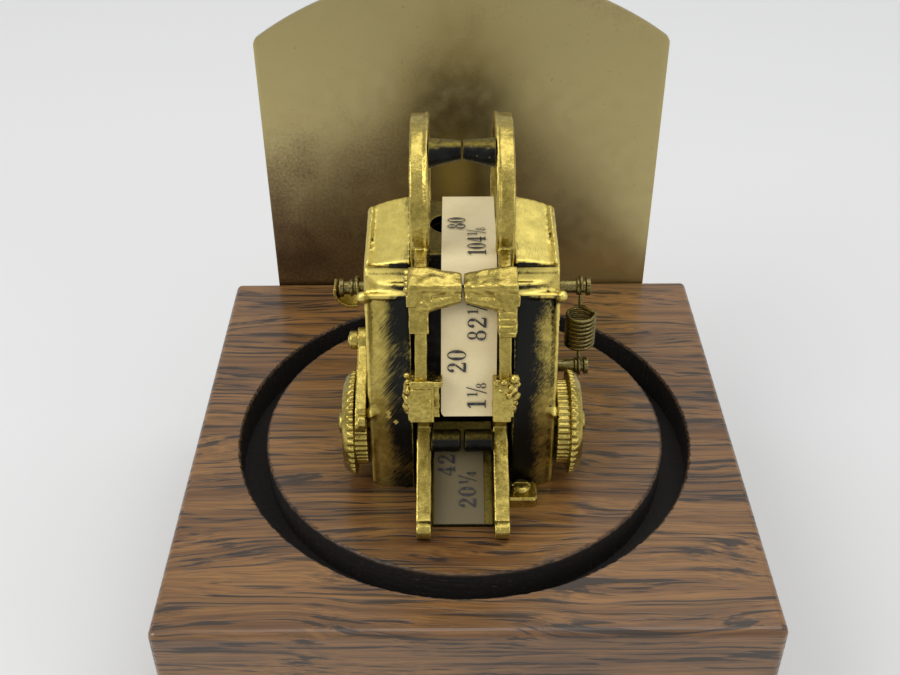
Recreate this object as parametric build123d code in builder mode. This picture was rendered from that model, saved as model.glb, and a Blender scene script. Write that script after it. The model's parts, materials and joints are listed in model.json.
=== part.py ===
"""Miniature stock ticker bookend: oak block, arched brass plate and a cast brass ticker with paper tape.

Frame: millimetres, +Z up, -Y to the front where the tape runs out, +Y to the brass plate.
Origin: centre of the bottom face.
"""
from build123d import *
import math
import os

os.makedirs("parts", exist_ok=True)

# ---------------------------------------------------------------- oak block, felt, plate, plaque
BASE_WIDTH = 90.0
BASE_DEPTH = 88.5
BASE_HEIGHT = 38.0
FELT_THICKNESS = 0.8
FELT_INSET = 3.0
EDGE_ROUND = 1.6
TOP_CHAMFER = 1.1

GROOVE_OUTER_R = 37.7
GROOVE_INNER_R = 33.3
GROOVE_DEPTH = 6.0

PLATE_WIDTH = 73.2
PLATE_THICKNESS = 1.0
PLATE_BOTTOM_Z = 6.0
PLATE_SHOULDER_Z = BASE_HEIGHT + 50.9
PLATE_PEAK_Z = BASE_HEIGHT + 62.9
PLATE_CORNER_R = 1.2

SCREW_SHANK_R = 1.2
SCREW_HEAD_R = 2.1
SCREW_HEAD_HEIGHT = 1.3
SCREW_LENGTH = 12.0
SCREW_SLOT_WIDTH = 0.55
SCREW_SLOT_DEPTH = 0.6
SCREW_X = 31.5
SCREW_Z = 13.0
HOLE_CLEARANCE = 0.05

PLAQUE_LENGTH = 74.0
PLAQUE_HEIGHT = 28.0
PLAQUE_THICKNESS = 0.8
PLAQUE_CENTRE_Z = 18.5
PLAQUE_TOP_R = 8.0
PLAQUE_BOTTOM_R = 1.0
PIN_HEAD_R = 1.25
PIN_SHANK_R = 0.6
PIN_LENGTH = 7.0
PIN_MARGIN = 4.0
PIN_TOP_DROP = 7.0

# ---------------------------------------------------------------- ticker, heights above the oak
TICKER_X = -0.5
FLOOR = BASE_HEIGHT

HOUSING_INNER_X = 7.6
HOUSING_MIDDLE_X = 11.0
HOUSING_OUTER_X = 14.3
HOUSING_WALL = 1.6
HOUSING_CENTRE_Y = -2.4
CROWN_Y = 0.11
CROWN_Z = 0.036
MIDDLE_CROWN = 0.3

CORE_HALF_WIDTH = 4.7
FRAME_INNER_X = 4.7
CORE_FRONT_Y = -9.0
CORE_REAR_Y = 8.5
CORE_SHOULDER_Z = 31.0
WINDOW_CENTRE = (TICKER_X - 2.0, -2.5)
WINDOW_R = 2.6
WINDOW_DEPTH = 6.0
REAR_LEG_X = 5.6
REAR_LEG_Z = 2.6
REAR_LEG_R = 1.1
REAR_LEG_END_Y = 24.5
REAR_BAR_SCREW_Z = 27.0
REAR_BAR_WIDTH = 4.6
REAR_BAR_THICKNESS = 1.3
HOOP_THICKNESS = 2.7
HOOP_CENTRE = (1.0, 44.0)
HOOP_OUTER_R = 12.2
HOOP_INNER_R = 10.4
RAIL_INNER_X = 5.0
RAIL_THICKNESS = 1.7
LEG_THICKNESS = 2.3

CROSSBAR_CENTRE = (-17.0, 40.3)
TOP_PEG_CENTRE = (-4.0, 54.2)
LOW_PEG_CENTRE = (-14.5, 9.6)
SEAM_GAP = 0.25

TAPE_WIDTH = 7.8
TAPE_THICKNESS = 0.22
TABLE_TOP = 41.45
TABLE_THICKNESS = 1.2

POST_R = 1.1
POST_FLANGE_R = 1.5
POST_END_X = {"left": 19.6, "right": 20.9}
UPPER_POST = (6.0, 24.5)
LOWER_POST = (2.0, 11.5)
DISC_R = 6.4
DISC_THICKNESS = 1.0

WHEEL_CENTRE = (-10.0, 9.6)
WHEEL_R = 8.3
WHEEL_RIM_R = 7.0
WHEEL_DRUM_R = 6.6
WHEEL_DRUM_X = 14.6
WHEEL_INNER_X = 16.5
WHEEL_OUTER_X = 18.4
WHEEL_RIBS = 42
RIB_R = 0.4
AXLE_R = 1.2
AXLE_INNER_X = 12.4
AXLE_END_X = 19.2
RUNNING_GAP = 0.05

DETENT_PIVOT = (-3.0, 20.6)
DETENT_INNER_X = 14.6
DETENT_OUTER_X = 16.2
DETENT_BAND = 1.9
DETENT_GAP = 0.35
KNOB_R = 1.5

LEVER_PIVOT = (9.0, 8.5)
LEVER_INNER_X = 14.6
LEVER_OUTER_X = 15.6

SPRING_X = 19.4
SPRING_R = 2.2
SPRING_WIRE_R = 0.3
SPRING_TURNS = 8
SPRING_PITCH = 0.78
HOOK_R = 1.5

LUG_THICKNESS = 1.8
BOLT_R = 1.1
BOLT_HEAD_R = 1.55
BOLT_DEPTH = 9.0

SIDES = (("left", -1), ("right", 1))


# ---------------------------------------------------------------- helpers
def save(builder, label):
    """Label a finished piece and write it to its own STEP file."""
    builder.part.label = label
    export_step(builder.part, f"parts/{label}.step")


def side_plane(side, distance):
    """YZ plane at a distance from the ticker's middle; local x is Y, local y the height above the oak."""
    return Plane(origin=(TICKER_X + side * distance, 0, FLOOR), x_dir=(0, 1, 0), z_dir=(1, 0, 0))


def along(side, length):
    """Signed extrusion length, outwards from the ticker's middle."""
    return side * length


def links(points, width):
    """Rounded bars between successive points of a path, in the current sketch."""
    for start, end in zip(points, points[1:]):
        run = Vector(*end) - Vector(*start)
        middle = (Vector(*end) + Vector(*start)) / 2
        angle = math.degrees(math.atan2(run.Y, run.X))
        with Locations((middle.X, middle.Y)):
            SlotCenterToCenter(run.length, width, rotation=angle)


def disc(centre, radius):
    """Circle at a point of the current sketch."""
    with Locations(centre):
        Circle(radius)


def slot_cut(centre, length, width):
    """Screwdriver slot at a point of the current sketch."""
    with Locations(centre):
        Rectangle(length, width)


# ---------------------------------------------------------------- oak block and felt
screw_points = [(-SCREW_X, SCREW_Z), (SCREW_X, SCREW_Z)]
back_y = BASE_DEPTH / 2
side_x = BASE_WIDTH / 2
pin_low_z = PLAQUE_CENTRE_Z - PLAQUE_HEIGHT / 2 + PIN_MARGIN
pin_high_z = PLAQUE_CENTRE_Z + PLAQUE_HEIGHT / 2 - PIN_TOP_DROP
pin_y = PLAQUE_LENGTH / 2 - PIN_MARGIN
pin_points = [(y, z) for y in (-pin_y, pin_y) for z in (pin_low_z, pin_high_z)]

lug_centres = [(TICKER_X + 9.2, -17.4), (TICKER_X - 9.2, 14.2)]
lug_size = (5.0, 4.2)

with BuildPart() as oak_base:
    with BuildSketch(Plane.XY.offset(FELT_THICKNESS)):
        Rectangle(BASE_WIDTH, BASE_DEPTH)
    extrude(amount=BASE_HEIGHT - FELT_THICKNESS)
    fillet(oak_base.edges().filter_by(Axis.Z), EDGE_ROUND)
    chamfer(oak_base.faces().sort_by(Axis.Z)[-1].edges(), TOP_CHAMFER)
    with BuildSketch(Plane.XY.offset(BASE_HEIGHT)):
        Circle(GROOVE_OUTER_R)
        Circle(GROOVE_INNER_R, mode=Mode.SUBTRACT)
    extrude(amount=-GROOVE_DEPTH, mode=Mode.SUBTRACT)
    with BuildSketch(Plane.XZ.offset(-back_y)):
        with Locations(*screw_points):
            Circle(SCREW_SHANK_R + HOLE_CLEARANCE)
    extrude(amount=SCREW_LENGTH, mode=Mode.SUBTRACT)
    with BuildSketch(Plane.YZ.offset(-side_x)):
        with Locations(*pin_points):
            Circle(PIN_SHANK_R + HOLE_CLEARANCE)
    extrude(amount=PIN_LENGTH, mode=Mode.SUBTRACT)
    with BuildSketch(Plane.XY.offset(BASE_HEIGHT)):
        with Locations(*lug_centres):
            Circle(BOLT_R + HOLE_CLEARANCE)
    extrude(amount=-BOLT_DEPTH, mode=Mode.SUBTRACT)
save(oak_base, "oak_base")

with BuildPart() as felt_pad:
    with BuildSketch():
        RectangleRounded(BASE_WIDTH - 2 * FELT_INSET, BASE_DEPTH - 2 * FELT_INSET, 2 * FELT_INSET)
    extrude(amount=FELT_THICKNESS)
save(felt_pad, "felt_pad")

# ---------------------------------------------------------------- arched brass plate and its screws
half_width = PLATE_WIDTH / 2
with BuildPart() as back_plate:
    with BuildSketch(Plane.XZ.offset(-back_y)) as plate_outline:
        with BuildLine():
            Polyline(
                (half_width, PLATE_SHOULDER_Z),
                (half_width, PLATE_BOTTOM_Z),
                (-half_width, PLATE_BOTTOM_Z),
                (-half_width, PLATE_SHOULDER_Z),
            )
            ThreePointArc(
                (-half_width, PLATE_SHOULDER_Z), (0, PLATE_PEAK_Z), (half_width, PLATE_SHOULDER_Z)
            )
        make_face()
        fillet(plate_outline.vertices(), PLATE_CORNER_R)
        with Locations(*screw_points):
            Circle(SCREW_SHANK_R + HOLE_CLEARANCE, mode=Mode.SUBTRACT)
    extrude(amount=-PLATE_THICKNESS)
save(back_plate, "back_plate")

head_y = back_y + PLATE_THICKNESS
with BuildPart() as back_plate_screws:
    with BuildSketch(Plane.XZ.offset(-head_y)):
        with Locations(*screw_points):
            Circle(SCREW_HEAD_R)
    extrude(amount=-SCREW_HEAD_HEIGHT)
    fillet(back_plate_screws.faces().group_by(Axis.Y)[-1].edges(), SCREW_HEAD_HEIGHT * 0.7)
    with BuildSketch(Plane.XZ.offset(-head_y)):
        with Locations(*screw_points):
            Circle(SCREW_SHANK_R)
    extrude(amount=SCREW_LENGTH)
    with BuildSketch(Plane.XZ.offset(-head_y - SCREW_HEAD_HEIGHT)):
        slot_cut(screw_points[0], 2 * SCREW_HEAD_R + 1, SCREW_SLOT_WIDTH)
        slot_cut(screw_points[1], SCREW_SLOT_WIDTH, 2 * SCREW_HEAD_R + 1)
    extrude(amount=SCREW_SLOT_DEPTH, mode=Mode.SUBTRACT)
save(back_plate_screws, "back_plate_screws")

# ---------------------------------------------------------------- blank side plaque and its pins
with BuildPart() as side_plaque:
    with BuildSketch(Plane.YZ.offset(-side_x)) as plaque_outline:
        with Locations((0, PLAQUE_CENTRE_Z)):
            Rectangle(PLAQUE_LENGTH, PLAQUE_HEIGHT)
        fillet(plaque_outline.vertices().group_by(Axis.Y)[-1], PLAQUE_TOP_R)
        fillet(plaque_outline.vertices().group_by(Axis.Y)[0], PLAQUE_BOTTOM_R)
        with Locations(*pin_points):
            Circle(PIN_SHANK_R + HOLE_CLEARANCE, mode=Mode.SUBTRACT)
    extrude(amount=-PLAQUE_THICKNESS)
save(side_plaque, "side_plaque")

with BuildPart() as plaque_pins:
    with BuildSketch(Plane.YZ.offset(-side_x - PLAQUE_THICKNESS)):
        with Locations(*pin_points):
            Circle(PIN_HEAD_R)
    extrude(amount=-PIN_HEAD_R * 0.7)
    fillet(plaque_pins.faces().group_by(Axis.X)[0].edges(), PIN_HEAD_R * 0.55)
    with BuildSketch(Plane.YZ.offset(-side_x - PLAQUE_THICKNESS)):
        with Locations(*pin_points):
            Circle(PIN_SHANK_R)
    extrude(amount=PIN_LENGTH)
save(plaque_pins, "plaque_pins")

# ---------------------------------------------------------------- barrel housings
FRONT_FOOT = (-15.2, 0.0)
FRONT_KNEE = (-15.2, 9.0)
FRONT_BELLY = (-14.1, 22.5)
RIDGE = (-10.8, 34.0)
LID_FRONT = (-8.5, 38.8)
LID_REAR = (6.0, 41.2)
REAR_SHOULDER = (8.6, 36.5)
REAR_BELLY = (11.2, 18.0)
REAR_FOOT = (11.6, 0.0)
RECESS_LOW = (-10.2, 36.4)
RECESS_HIGH = (-8.5, 38.3)
RECESS_DEPTH = 1.3
RIDGE_R = 0.5


def crowned(point, share):
    """A point of the housing's outline drawn in towards the outer end by its share of the crown."""
    y, z = point
    return (HOUSING_CENTRE_Y + (y - HOUSING_CENTRE_Y) * (1 - CROWN_Y * share), z * (1 - CROWN_Z * share))


def housing_outline(share, wall):
    """Closed outline of the housing at one section, drawn in by the wall on every side but the bottom."""

    def at(point, inward):
        y, z = crowned(point, share)
        return (y + inward[0] * wall, z + inward[1] * wall)

    with BuildSketch() as outline:
        with BuildLine():
            Line(at(FRONT_FOOT, (1, 0)), at(FRONT_KNEE, (1, 0)))
            ThreePointArc(at(FRONT_KNEE, (1, 0)), at(FRONT_BELLY, (1, 0)), at(RIDGE, (1, -0.5)))
            Line(at(RIDGE, (1, -0.5)), at(LID_FRONT, (1.6, -1.6)))
            Line(at(LID_FRONT, (1.6, -1.6)), at(LID_REAR, (-1, -1.2)))
            Line(at(LID_REAR, (-1, -1.2)), at(REAR_SHOULDER, (-1, -0.5)))
            ThreePointArc(at(REAR_SHOULDER, (-1, -0.5)), at(REAR_BELLY, (-1, 0)), at(REAR_FOOT, (-1, 0)))
            Line(at(REAR_FOOT, (-1, 0)), at(FRONT_FOOT, (1, 0)))
        make_face()
    return outline.sketch


LIP_DIRECTION = Vector(RECESS_HIGH[0] - RECESS_LOW[0], RECESS_HIGH[1] - RECESS_LOW[1]).normalized()
RECESS_NORMAL = Vector(LIP_DIRECTION.Y, -LIP_DIRECTION.X) * RECESS_DEPTH
housing_width = HOUSING_OUTER_X - HOUSING_INNER_X
housing_sections = [
    (HOUSING_INNER_X, housing_outline(0.0, 0.0)),
    (HOUSING_MIDDLE_X, housing_outline(MIDDLE_CROWN, 0.0)),
    (HOUSING_OUTER_X, housing_outline(1.0, 0.0)),
]
housing_hollow = housing_outline(1.0, HOUSING_WALL + RECESS_DEPTH)

for name, side in SIDES:
    with BuildPart() as housing:
        for distance, section in housing_sections:
            with BuildSketch(side_plane(side, distance)):
                add(section)
        loft()
        with BuildSketch(side_plane(side, HOUSING_INNER_X)):
            with BuildLine():
                Polyline(
                    (RECESS_LOW[0] - 1.2, RECESS_LOW[1]),
                    (RECESS_LOW[0] + RECESS_NORMAL.X, RECESS_LOW[1] + RECESS_NORMAL.Y),
                    (RECESS_HIGH[0] + RECESS_NORMAL.X, RECESS_HIGH[1] + RECESS_NORMAL.Y),
                    (RECESS_HIGH[0] - 1.2, RECESS_HIGH[1]),
                    close=True,
                )
            make_face()
        extrude(amount=along(side, housing_width), mode=Mode.SUBTRACT)
        with BuildSketch(side_plane(side, HOUSING_INNER_X + HOUSING_WALL)):
            add(housing_hollow)
        extrude(amount=along(side, housing_width - 2 * HOUSING_WALL), mode=Mode.SUBTRACT)
        with BuildSketch(side_plane(side, HOUSING_INNER_X)):
            disc((RIDGE[0] + 0.25, RIDGE[1]), RIDGE_R)
        extrude(amount=along(side, housing_width - 0.6))
        with BuildSketch(side_plane(side, AXLE_INNER_X - 0.1)):
            disc(WHEEL_CENTRE, AXLE_R + HOLE_CLEARANCE)
            disc(UPPER_POST, POST_R + HOLE_CLEARANCE)
            disc(DETENT_PIVOT if side < 0 else LEVER_PIVOT, 0.8 + HOLE_CLEARANCE)
        extrude(amount=along(side, HOUSING_OUTER_X), mode=Mode.SUBTRACT)
    save(housing, f"{name}_housing")

    with BuildPart() as cover_disc:
        with BuildSketch(side_plane(side, HOUSING_OUTER_X)):
            disc(UPPER_POST, DISC_R)
            with Locations(UPPER_POST):
                Circle(POST_R + HOLE_CLEARANCE, mode=Mode.SUBTRACT)
        extrude(amount=along(side, DISC_THICKNESS))
        chamfer(cover_disc.faces().sort_by(Axis.X)[0 if side < 0 else -1].edges(), 0.3)
    save(cover_disc, f"{name}_cover_disc")

# ---------------------------------------------------------------- core between the housings, tape table
with BuildPart() as core_block:
    with BuildSketch(side_plane(-1, HOUSING_INNER_X)):
        with BuildLine():
            Polyline(
                (CORE_FRONT_Y, 0.0), (CORE_FRONT_Y, CORE_SHOULDER_Z), (CORE_REAR_Y, CORE_SHOULDER_Z),
                (CORE_REAR_Y, 0.0), close=True,
            )
        make_face()
    extrude(amount=2 * HOUSING_INNER_X)
    with BuildSketch(side_plane(-1, CORE_HALF_WIDTH)):
        with BuildLine():
            Polyline(
                (CORE_FRONT_Y, CORE_SHOULDER_Z), (-7.5, 37.5), (-7.5, TABLE_TOP - TABLE_THICKNESS),
                (4.4, TABLE_TOP - TABLE_THICKNESS), (4.4, 34.0), (CORE_REAR_Y, CORE_SHOULDER_Z), close=True,
            )
        make_face()
    extrude(amount=2 * CORE_HALF_WIDTH)
    with BuildSketch(Plane.XY.offset(FLOOR + TABLE_TOP)):
        with Locations(WINDOW_CENTRE):
            Circle(WINDOW_R)
    extrude(amount=-WINDOW_DEPTH, mode=Mode.SUBTRACT)
    with BuildSketch(Plane.XZ.offset(-CORE_REAR_Y)):
        for side in (-1, 1):
            disc((TICKER_X + side * REAR_LEG_X, FLOOR + REAR_LEG_Z), REAR_LEG_R + HOLE_CLEARANCE)
        disc((TICKER_X, FLOOR + REAR_BAR_SCREW_Z), 0.8 + HOLE_CLEARANCE)
    extrude(amount=3.0, mode=Mode.SUBTRACT)
save(core_block, "core_block")

with BuildPart() as tape_table:
    with BuildSketch(Plane.XY.offset(FLOOR + TABLE_TOP)):
        with Locations((TICKER_X, -3.2)):
            Rectangle(2 * CORE_HALF_WIDTH, 15.6)
        with Locations(WINDOW_CENTRE):
            Circle(WINDOW_R, mode=Mode.SUBTRACT)
    extrude(amount=-TABLE_THICKNESS)
    fillet(tape_table.edges().filter_by(Axis.X).sort_by(Axis.Z)[-2:], 0.5)
save(tape_table, "tape_table")

# ---------------------------------------------------------------- side frames: hoop, rail, bracket and leg
rail_path = [(-10.4, 41.6), CROSSBAR_CENTRE, (-20.6, 33.2), (-23.2, 26.6)]
shank_path = [(-23.2, 26.6), (-22.4, 21.8), (-12.6, 13.4)]
leg_path = [(-12.6, 13.4), (-11.6, 10.6), (-25.6, 1.5)]
BRACKET_THICKNESS = {"left": 3.4, "right": 2.6}
BOSS_R = 0.85
BOSS_POINTS = [(-24.3, 27.6), (-24.0, 25.6), (-23.4, 23.5), (-22.1, 26.8)]
bracket_size = (4.4, 6.2)
bracket_centre = (-23.0, 25.4)

frames = {}
for name, side in SIDES:
    with BuildPart() as side_frame:
        with BuildSketch(side_plane(side, FRAME_INNER_X)):
            disc(HOOP_CENTRE, HOOP_OUTER_R)
            with Locations(HOOP_CENTRE):
                Circle(HOOP_INNER_R, mode=Mode.SUBTRACT)
        extrude(amount=along(side, HOOP_THICKNESS))
        fillet(side_frame.edges(), 0.45)
        with BuildSketch(side_plane(side, RAIL_INNER_X)):
            links(rail_path, 2.0)
            links(shank_path, 2.2)
        extrude(amount=along(side, RAIL_THICKNESS))
        with BuildSketch(side_plane(side, RAIL_INNER_X - 0.2)):
            links(leg_path, 2.0)
            disc(leg_path[-1], 1.45)
        extrude(amount=along(side, LEG_THICKNESS))
        with BuildSketch(side_plane(side, RAIL_INNER_X - 0.9)):
            with Locations(bracket_centre):
                Rectangle(*bracket_size, rotation=-14)
        extrude(amount=along(side, BRACKET_THICKNESS[name]))
    save(side_frame, f"{name}_side_frame")
    frames[name] = side_frame.part

    bracket_outer_x = RAIL_INNER_X - 0.9 + BRACKET_THICKNESS[name]
    with BuildPart() as bracket_bosses:
        with BuildSketch(side_plane(side, bracket_outer_x)):
            with Locations(*BOSS_POINTS):
                Circle(BOSS_R)
        extrude(amount=along(side, BOSS_R))
        outer_end = 0 if side < 0 else -1
        fillet(bracket_bosses.faces().group_by(Axis.X)[outer_end].edges(), BOSS_R * 0.75)
    save(bracket_bosses, f"{name}_bracket_bosses")

    with BuildPart() as crossbar:
        for distance, size in ((SEAM_GAP / 2, (3.2, 2.0)), (FRAME_INNER_X + 0.3, (4.4, 3.4))):
            with BuildSketch(side_plane(side, distance)):
                with Locations(CROSSBAR_CENTRE):
                    RectangleRounded(*size, 0.7, rotation=12)
        loft()
        with BuildSketch(side_plane(side, FRAME_INNER_X + 0.3)):
            with Locations(CROSSBAR_CENTRE):
                RectangleRounded(4.4, 3.4, 0.7, rotation=12)
        extrude(amount=along(side, 2.5))
    crossbar_cut = crossbar.part - side_frame.part
    with BuildPart() as crossbar_half:
        add(crossbar_cut.solids().sort_by(SortBy.VOLUME)[-1])
    save(crossbar_half, f"{name}_crossbar")

    with BuildPart() as top_peg:
        for distance, radius in ((SEAM_GAP / 2, 1.35), (FRAME_INNER_X, 2.1)):
            with BuildSketch(side_plane(side, distance)):
                disc((TOP_PEG_CENTRE[0], TOP_PEG_CENTRE[1] - (radius - 1.35) * 0.6), radius)
        loft()
    save(top_peg, f"{name}_top_peg")

    with BuildPart() as low_peg:
        with BuildSketch(side_plane(side, SEAM_GAP)):
            disc(LOW_PEG_CENTRE, 1.75)
        extrude(amount=along(side, RAIL_INNER_X - 0.2 - SEAM_GAP))
        chamfer(low_peg.edges().filter_by(GeomType.CIRCLE), 0.25)
    save(low_peg, f"{name}_low_peg")

# ---------------------------------------------------------------- paper tape, upper and lower runs
UPPER_TAPE_PATH = [
    (6.4, 36.5), (6.4, 41.6), (-12.2, 41.6), (-18.0, 36.4), (-21.6, 28.6), (-24.0, 22.6),
]
UPPER_TAPE_RADII = [1.6, 3.0, 9.0, 14.0]
LOWER_TAPE_START = (-12.2, 7.8)
LOWER_TAPE_END = (-23.8, 0.7)
CHUTE_DROP = 0.2


with BuildPart() as upper_tape:
    with BuildSketch(side_plane(-1, TAPE_WIDTH / 2)):
        with BuildLine() as upper_line:
            FilletPolyline(*UPPER_TAPE_PATH, radius=UPPER_TAPE_RADII)
        trace(upper_line.line, TAPE_THICKNESS)
    extrude(amount=TAPE_WIDTH)
save(upper_tape, "upper_tape")

with BuildPart() as lower_tape:
    with BuildSketch(side_plane(-1, TAPE_WIDTH / 2)):
        with BuildLine() as lower_line:
            Line(LOWER_TAPE_START, LOWER_TAPE_END)
        trace(lower_line.line, TAPE_THICKNESS)
    extrude(amount=TAPE_WIDTH)
save(lower_tape, "lower_tape")

chute_run = Vector(*LOWER_TAPE_END) - Vector(*LOWER_TAPE_START)
chute_normal = Vector(chute_run.Y, -chute_run.X).normalized()
with BuildPart() as tape_chute:
    chute_top = [
        Vector(*LOWER_TAPE_START) - chute_normal * CHUTE_DROP,
        Vector(*LOWER_TAPE_END) - chute_normal * CHUTE_DROP,
    ]
    with BuildSketch(side_plane(-1, CORE_HALF_WIDTH)):
        with BuildLine():
            Polyline(
                (-9.1, 0.0), (-9.1, 9.0), (chute_top[0].X, chute_top[0].Y),
                (chute_top[1].X, chute_top[1].Y), (chute_top[1].X, 0.0), close=True,
            )
        make_face()
    extrude(amount=2 * CORE_HALF_WIDTH)
save(tape_chute, "tape_chute")

# ---------------------------------------------------------------- fluted wheels on their stub axles
rib_circle_r = WHEEL_R - RIB_R
drum_circle_r = WHEEL_DRUM_R - RIB_R
for name, side in SIDES:
    with BuildPart() as fluted_wheel:
        with BuildSketch(side_plane(side, WHEEL_INNER_X)):
            with Locations(WHEEL_CENTRE):
                Circle(rib_circle_r)
                with PolarLocations(rib_circle_r, WHEEL_RIBS):
                    Circle(RIB_R)
        extrude(amount=along(side, WHEEL_OUTER_X - WHEEL_INNER_X))
        wheel_axis = Axis(
            (TICKER_X, WHEEL_CENTRE[0], FLOOR + WHEEL_CENTRE[1]), (1, 0, 0)
        )
        profile_plane = Plane(
            origin=(TICKER_X, WHEEL_CENTRE[0], FLOOR + WHEEL_CENTRE[1]),
            x_dir=(side, 0, 0),
            z_dir=(0, -side, 0),
        )
        with BuildSketch(profile_plane):
            with BuildLine():
                Line((WHEEL_INNER_X - 0.1, 0), (WHEEL_INNER_X - 0.1, WHEEL_R))
                Line((WHEEL_INNER_X - 0.1, WHEEL_R), (WHEEL_INNER_X + 0.4, WHEEL_R))
                ThreePointArc(
                    (WHEEL_INNER_X + 0.4, WHEEL_R),
                    (WHEEL_OUTER_X - 0.9, WHEEL_R - 0.35),
                    (WHEEL_OUTER_X, WHEEL_RIM_R),
                )
                Line((WHEEL_OUTER_X, WHEEL_RIM_R), (WHEEL_OUTER_X, 0))
                Line((WHEEL_OUTER_X, 0), (WHEEL_INNER_X - 0.1, 0))
            make_face()
        revolve(axis=wheel_axis, mode=Mode.INTERSECT)
        with BuildSketch(side_plane(side, WHEEL_DRUM_X)):
            with Locations(WHEEL_CENTRE):
                Circle(drum_circle_r)
                with PolarLocations(drum_circle_r, WHEEL_RIBS):
                    Circle(RIB_R)
        extrude(amount=along(side, WHEEL_INNER_X - WHEEL_DRUM_X))
        with BuildSketch(side_plane(side, WHEEL_OUTER_X)):
            disc(WHEEL_CENTRE, 5.6)
            with Locations(WHEEL_CENTRE):
                Circle(2.4, mode=Mode.SUBTRACT)
        extrude(amount=along(side, -0.7), mode=Mode.SUBTRACT)
        with BuildSketch(side_plane(side, WHEEL_DRUM_X)):
            disc(WHEEL_CENTRE, AXLE_R + RUNNING_GAP)
        extrude(amount=along(side, WHEEL_OUTER_X), mode=Mode.SUBTRACT)
    save(fluted_wheel, f"{name}_fluted_wheel")

    with BuildPart() as stub_axle:
        with BuildSketch(side_plane(side, AXLE_INNER_X)):
            disc(WHEEL_CENTRE, AXLE_R)
        extrude(amount=along(side, AXLE_END_X - AXLE_INNER_X))
        with BuildSketch(side_plane(side, WHEEL_OUTER_X + 0.1)):
            disc(WHEEL_CENTRE, 1.75)
        extrude(amount=along(side, 0.9))
        fillet(stub_axle.faces().sort_by(Axis.X)[0 if side < 0 else -1].edges(), 0.5)
    save(stub_axle, f"{name}_wheel_axle")

# ---------------------------------------------------------------- posts with flanges
post_inner_x = HOUSING_OUTER_X - HOUSING_WALL + 0.2


def post(name, side, centre, inner_x):
    """Round post along X with a flange at its outer end and a collar before it."""
    with BuildPart() as round_post:
        with BuildSketch(side_plane(side, inner_x)):
            disc(centre, POST_R)
        extrude(amount=along(side, POST_END_X[name] - inner_x))
        with BuildSketch(side_plane(side, POST_END_X[name] - 0.7)):
            disc(centre, POST_FLANGE_R)
        extrude(amount=along(side, 0.7))
        with BuildSketch(side_plane(side, POST_END_X[name] - 2.2)):
            disc(centre, POST_FLANGE_R - 0.1)
        extrude(amount=along(side, 0.45))
    return round_post


for name, side in SIDES:
    save(post(name, side, UPPER_POST, post_inner_x), f"{name}_upper_post")

# ---------------------------------------------------------------- left detent lever, stud, knob
tip_angle = 38.0
arm_mid_r = WHEEL_DRUM_R + DETENT_GAP + DETENT_BAND / 2


def around_wheel(radius, angle):
    """Point at a radius and an angle from the front, round the wheel's axle."""
    turn = math.radians(angle)
    return (WHEEL_CENTRE[0] - radius * math.cos(turn), WHEEL_CENTRE[1] + radius * math.sin(turn))


arm_points = [DETENT_PIVOT, (-6.5, 19.3)] + [around_wheel(arm_mid_r, a) for a in (84, 69, 54, tip_angle)]
with BuildPart() as detent_lever:
    with BuildSketch(side_plane(-1, DETENT_INNER_X)):
        links(arm_points, DETENT_BAND)
        disc(DETENT_PIVOT, 2.0)
        with Locations(DETENT_PIVOT):
            Circle(0.8 + RUNNING_GAP, mode=Mode.SUBTRACT)
    extrude(amount=along(-1, DETENT_OUTER_X - DETENT_INNER_X))
    tip_centre = around_wheel(arm_mid_r + 0.7, tip_angle + 3)
    with BuildSketch(side_plane(-1, DETENT_INNER_X)):
        disc(tip_centre, 1.05)
    extrude(amount=along(-1, 1.1))
save(detent_lever, "detent_lever")

with BuildPart() as detent_stud:
    with BuildSketch(side_plane(-1, post_inner_x)):
        disc(DETENT_PIVOT, 0.8)
    extrude(amount=along(-1, DETENT_OUTER_X + 1.6 - post_inner_x))
save(detent_stud, "detent_stud")

with BuildPart() as detent_knob:
    with BuildSketch(side_plane(-1, DETENT_OUTER_X + 0.1)):
        disc(DETENT_PIVOT, KNOB_R)
        with Locations(DETENT_PIVOT):
            Circle(0.8 + HOLE_CLEARANCE, mode=Mode.SUBTRACT)
    extrude(amount=along(-1, 1.3))
    fillet(detent_knob.faces().sort_by(Axis.X)[0].edges().sort_by(Edge.length)[-1], 0.4)
save(detent_knob, "detent_knob")

# ---------------------------------------------------------------- left hook strap and wire ring on the post
with BuildPart() as hook_strap:
    strap_plane = Plane(
        origin=(TICKER_X - 17.6, UPPER_POST[0] - 1.6, FLOOR + UPPER_POST[1]),
        x_dir=(1, 0, 0),
        z_dir=(0, -1, 0),
    )
    with BuildSketch(strap_plane):
        with BuildLine() as strap_line:
            CenterArc((0, 0), 2.7, 165, 125)
        trace(strap_line.line, 0.45)
    extrude(amount=-3.2)
save(hook_strap, "hook_strap")

with BuildPart() as post_ring:
    Torus(1.75, 0.3, align=(Align.CENTER, Align.CENTER, Align.CENTER), rotation=(0, 78, 0))
placed_ring = Pos(TICKER_X - 16.4, UPPER_POST[0], FLOOR + UPPER_POST[1]) * post_ring.part
with BuildPart() as wire_ring:
    add(placed_ring)
save(wire_ring, "wire_ring")

# ---------------------------------------------------------------- right spring lever with the lower post
lever_points = [LEVER_PIVOT, (4.8, 8.8), LOWER_POST, (1.8, 14.0), (2.2, 16.2)]
with BuildPart() as spring_lever:
    with BuildSketch(side_plane(1, LEVER_INNER_X)):
        links(lever_points, 3.0)
        disc(LEVER_PIVOT, 2.3)
        with Locations(LEVER_PIVOT):
            Circle(0.8 + RUNNING_GAP, mode=Mode.SUBTRACT)
        with Locations(LOWER_POST):
            Circle(POST_R + HOLE_CLEARANCE, mode=Mode.SUBTRACT)
    extrude(amount=along(1, LEVER_OUTER_X - LEVER_INNER_X))
save(spring_lever, "spring_lever")

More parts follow.
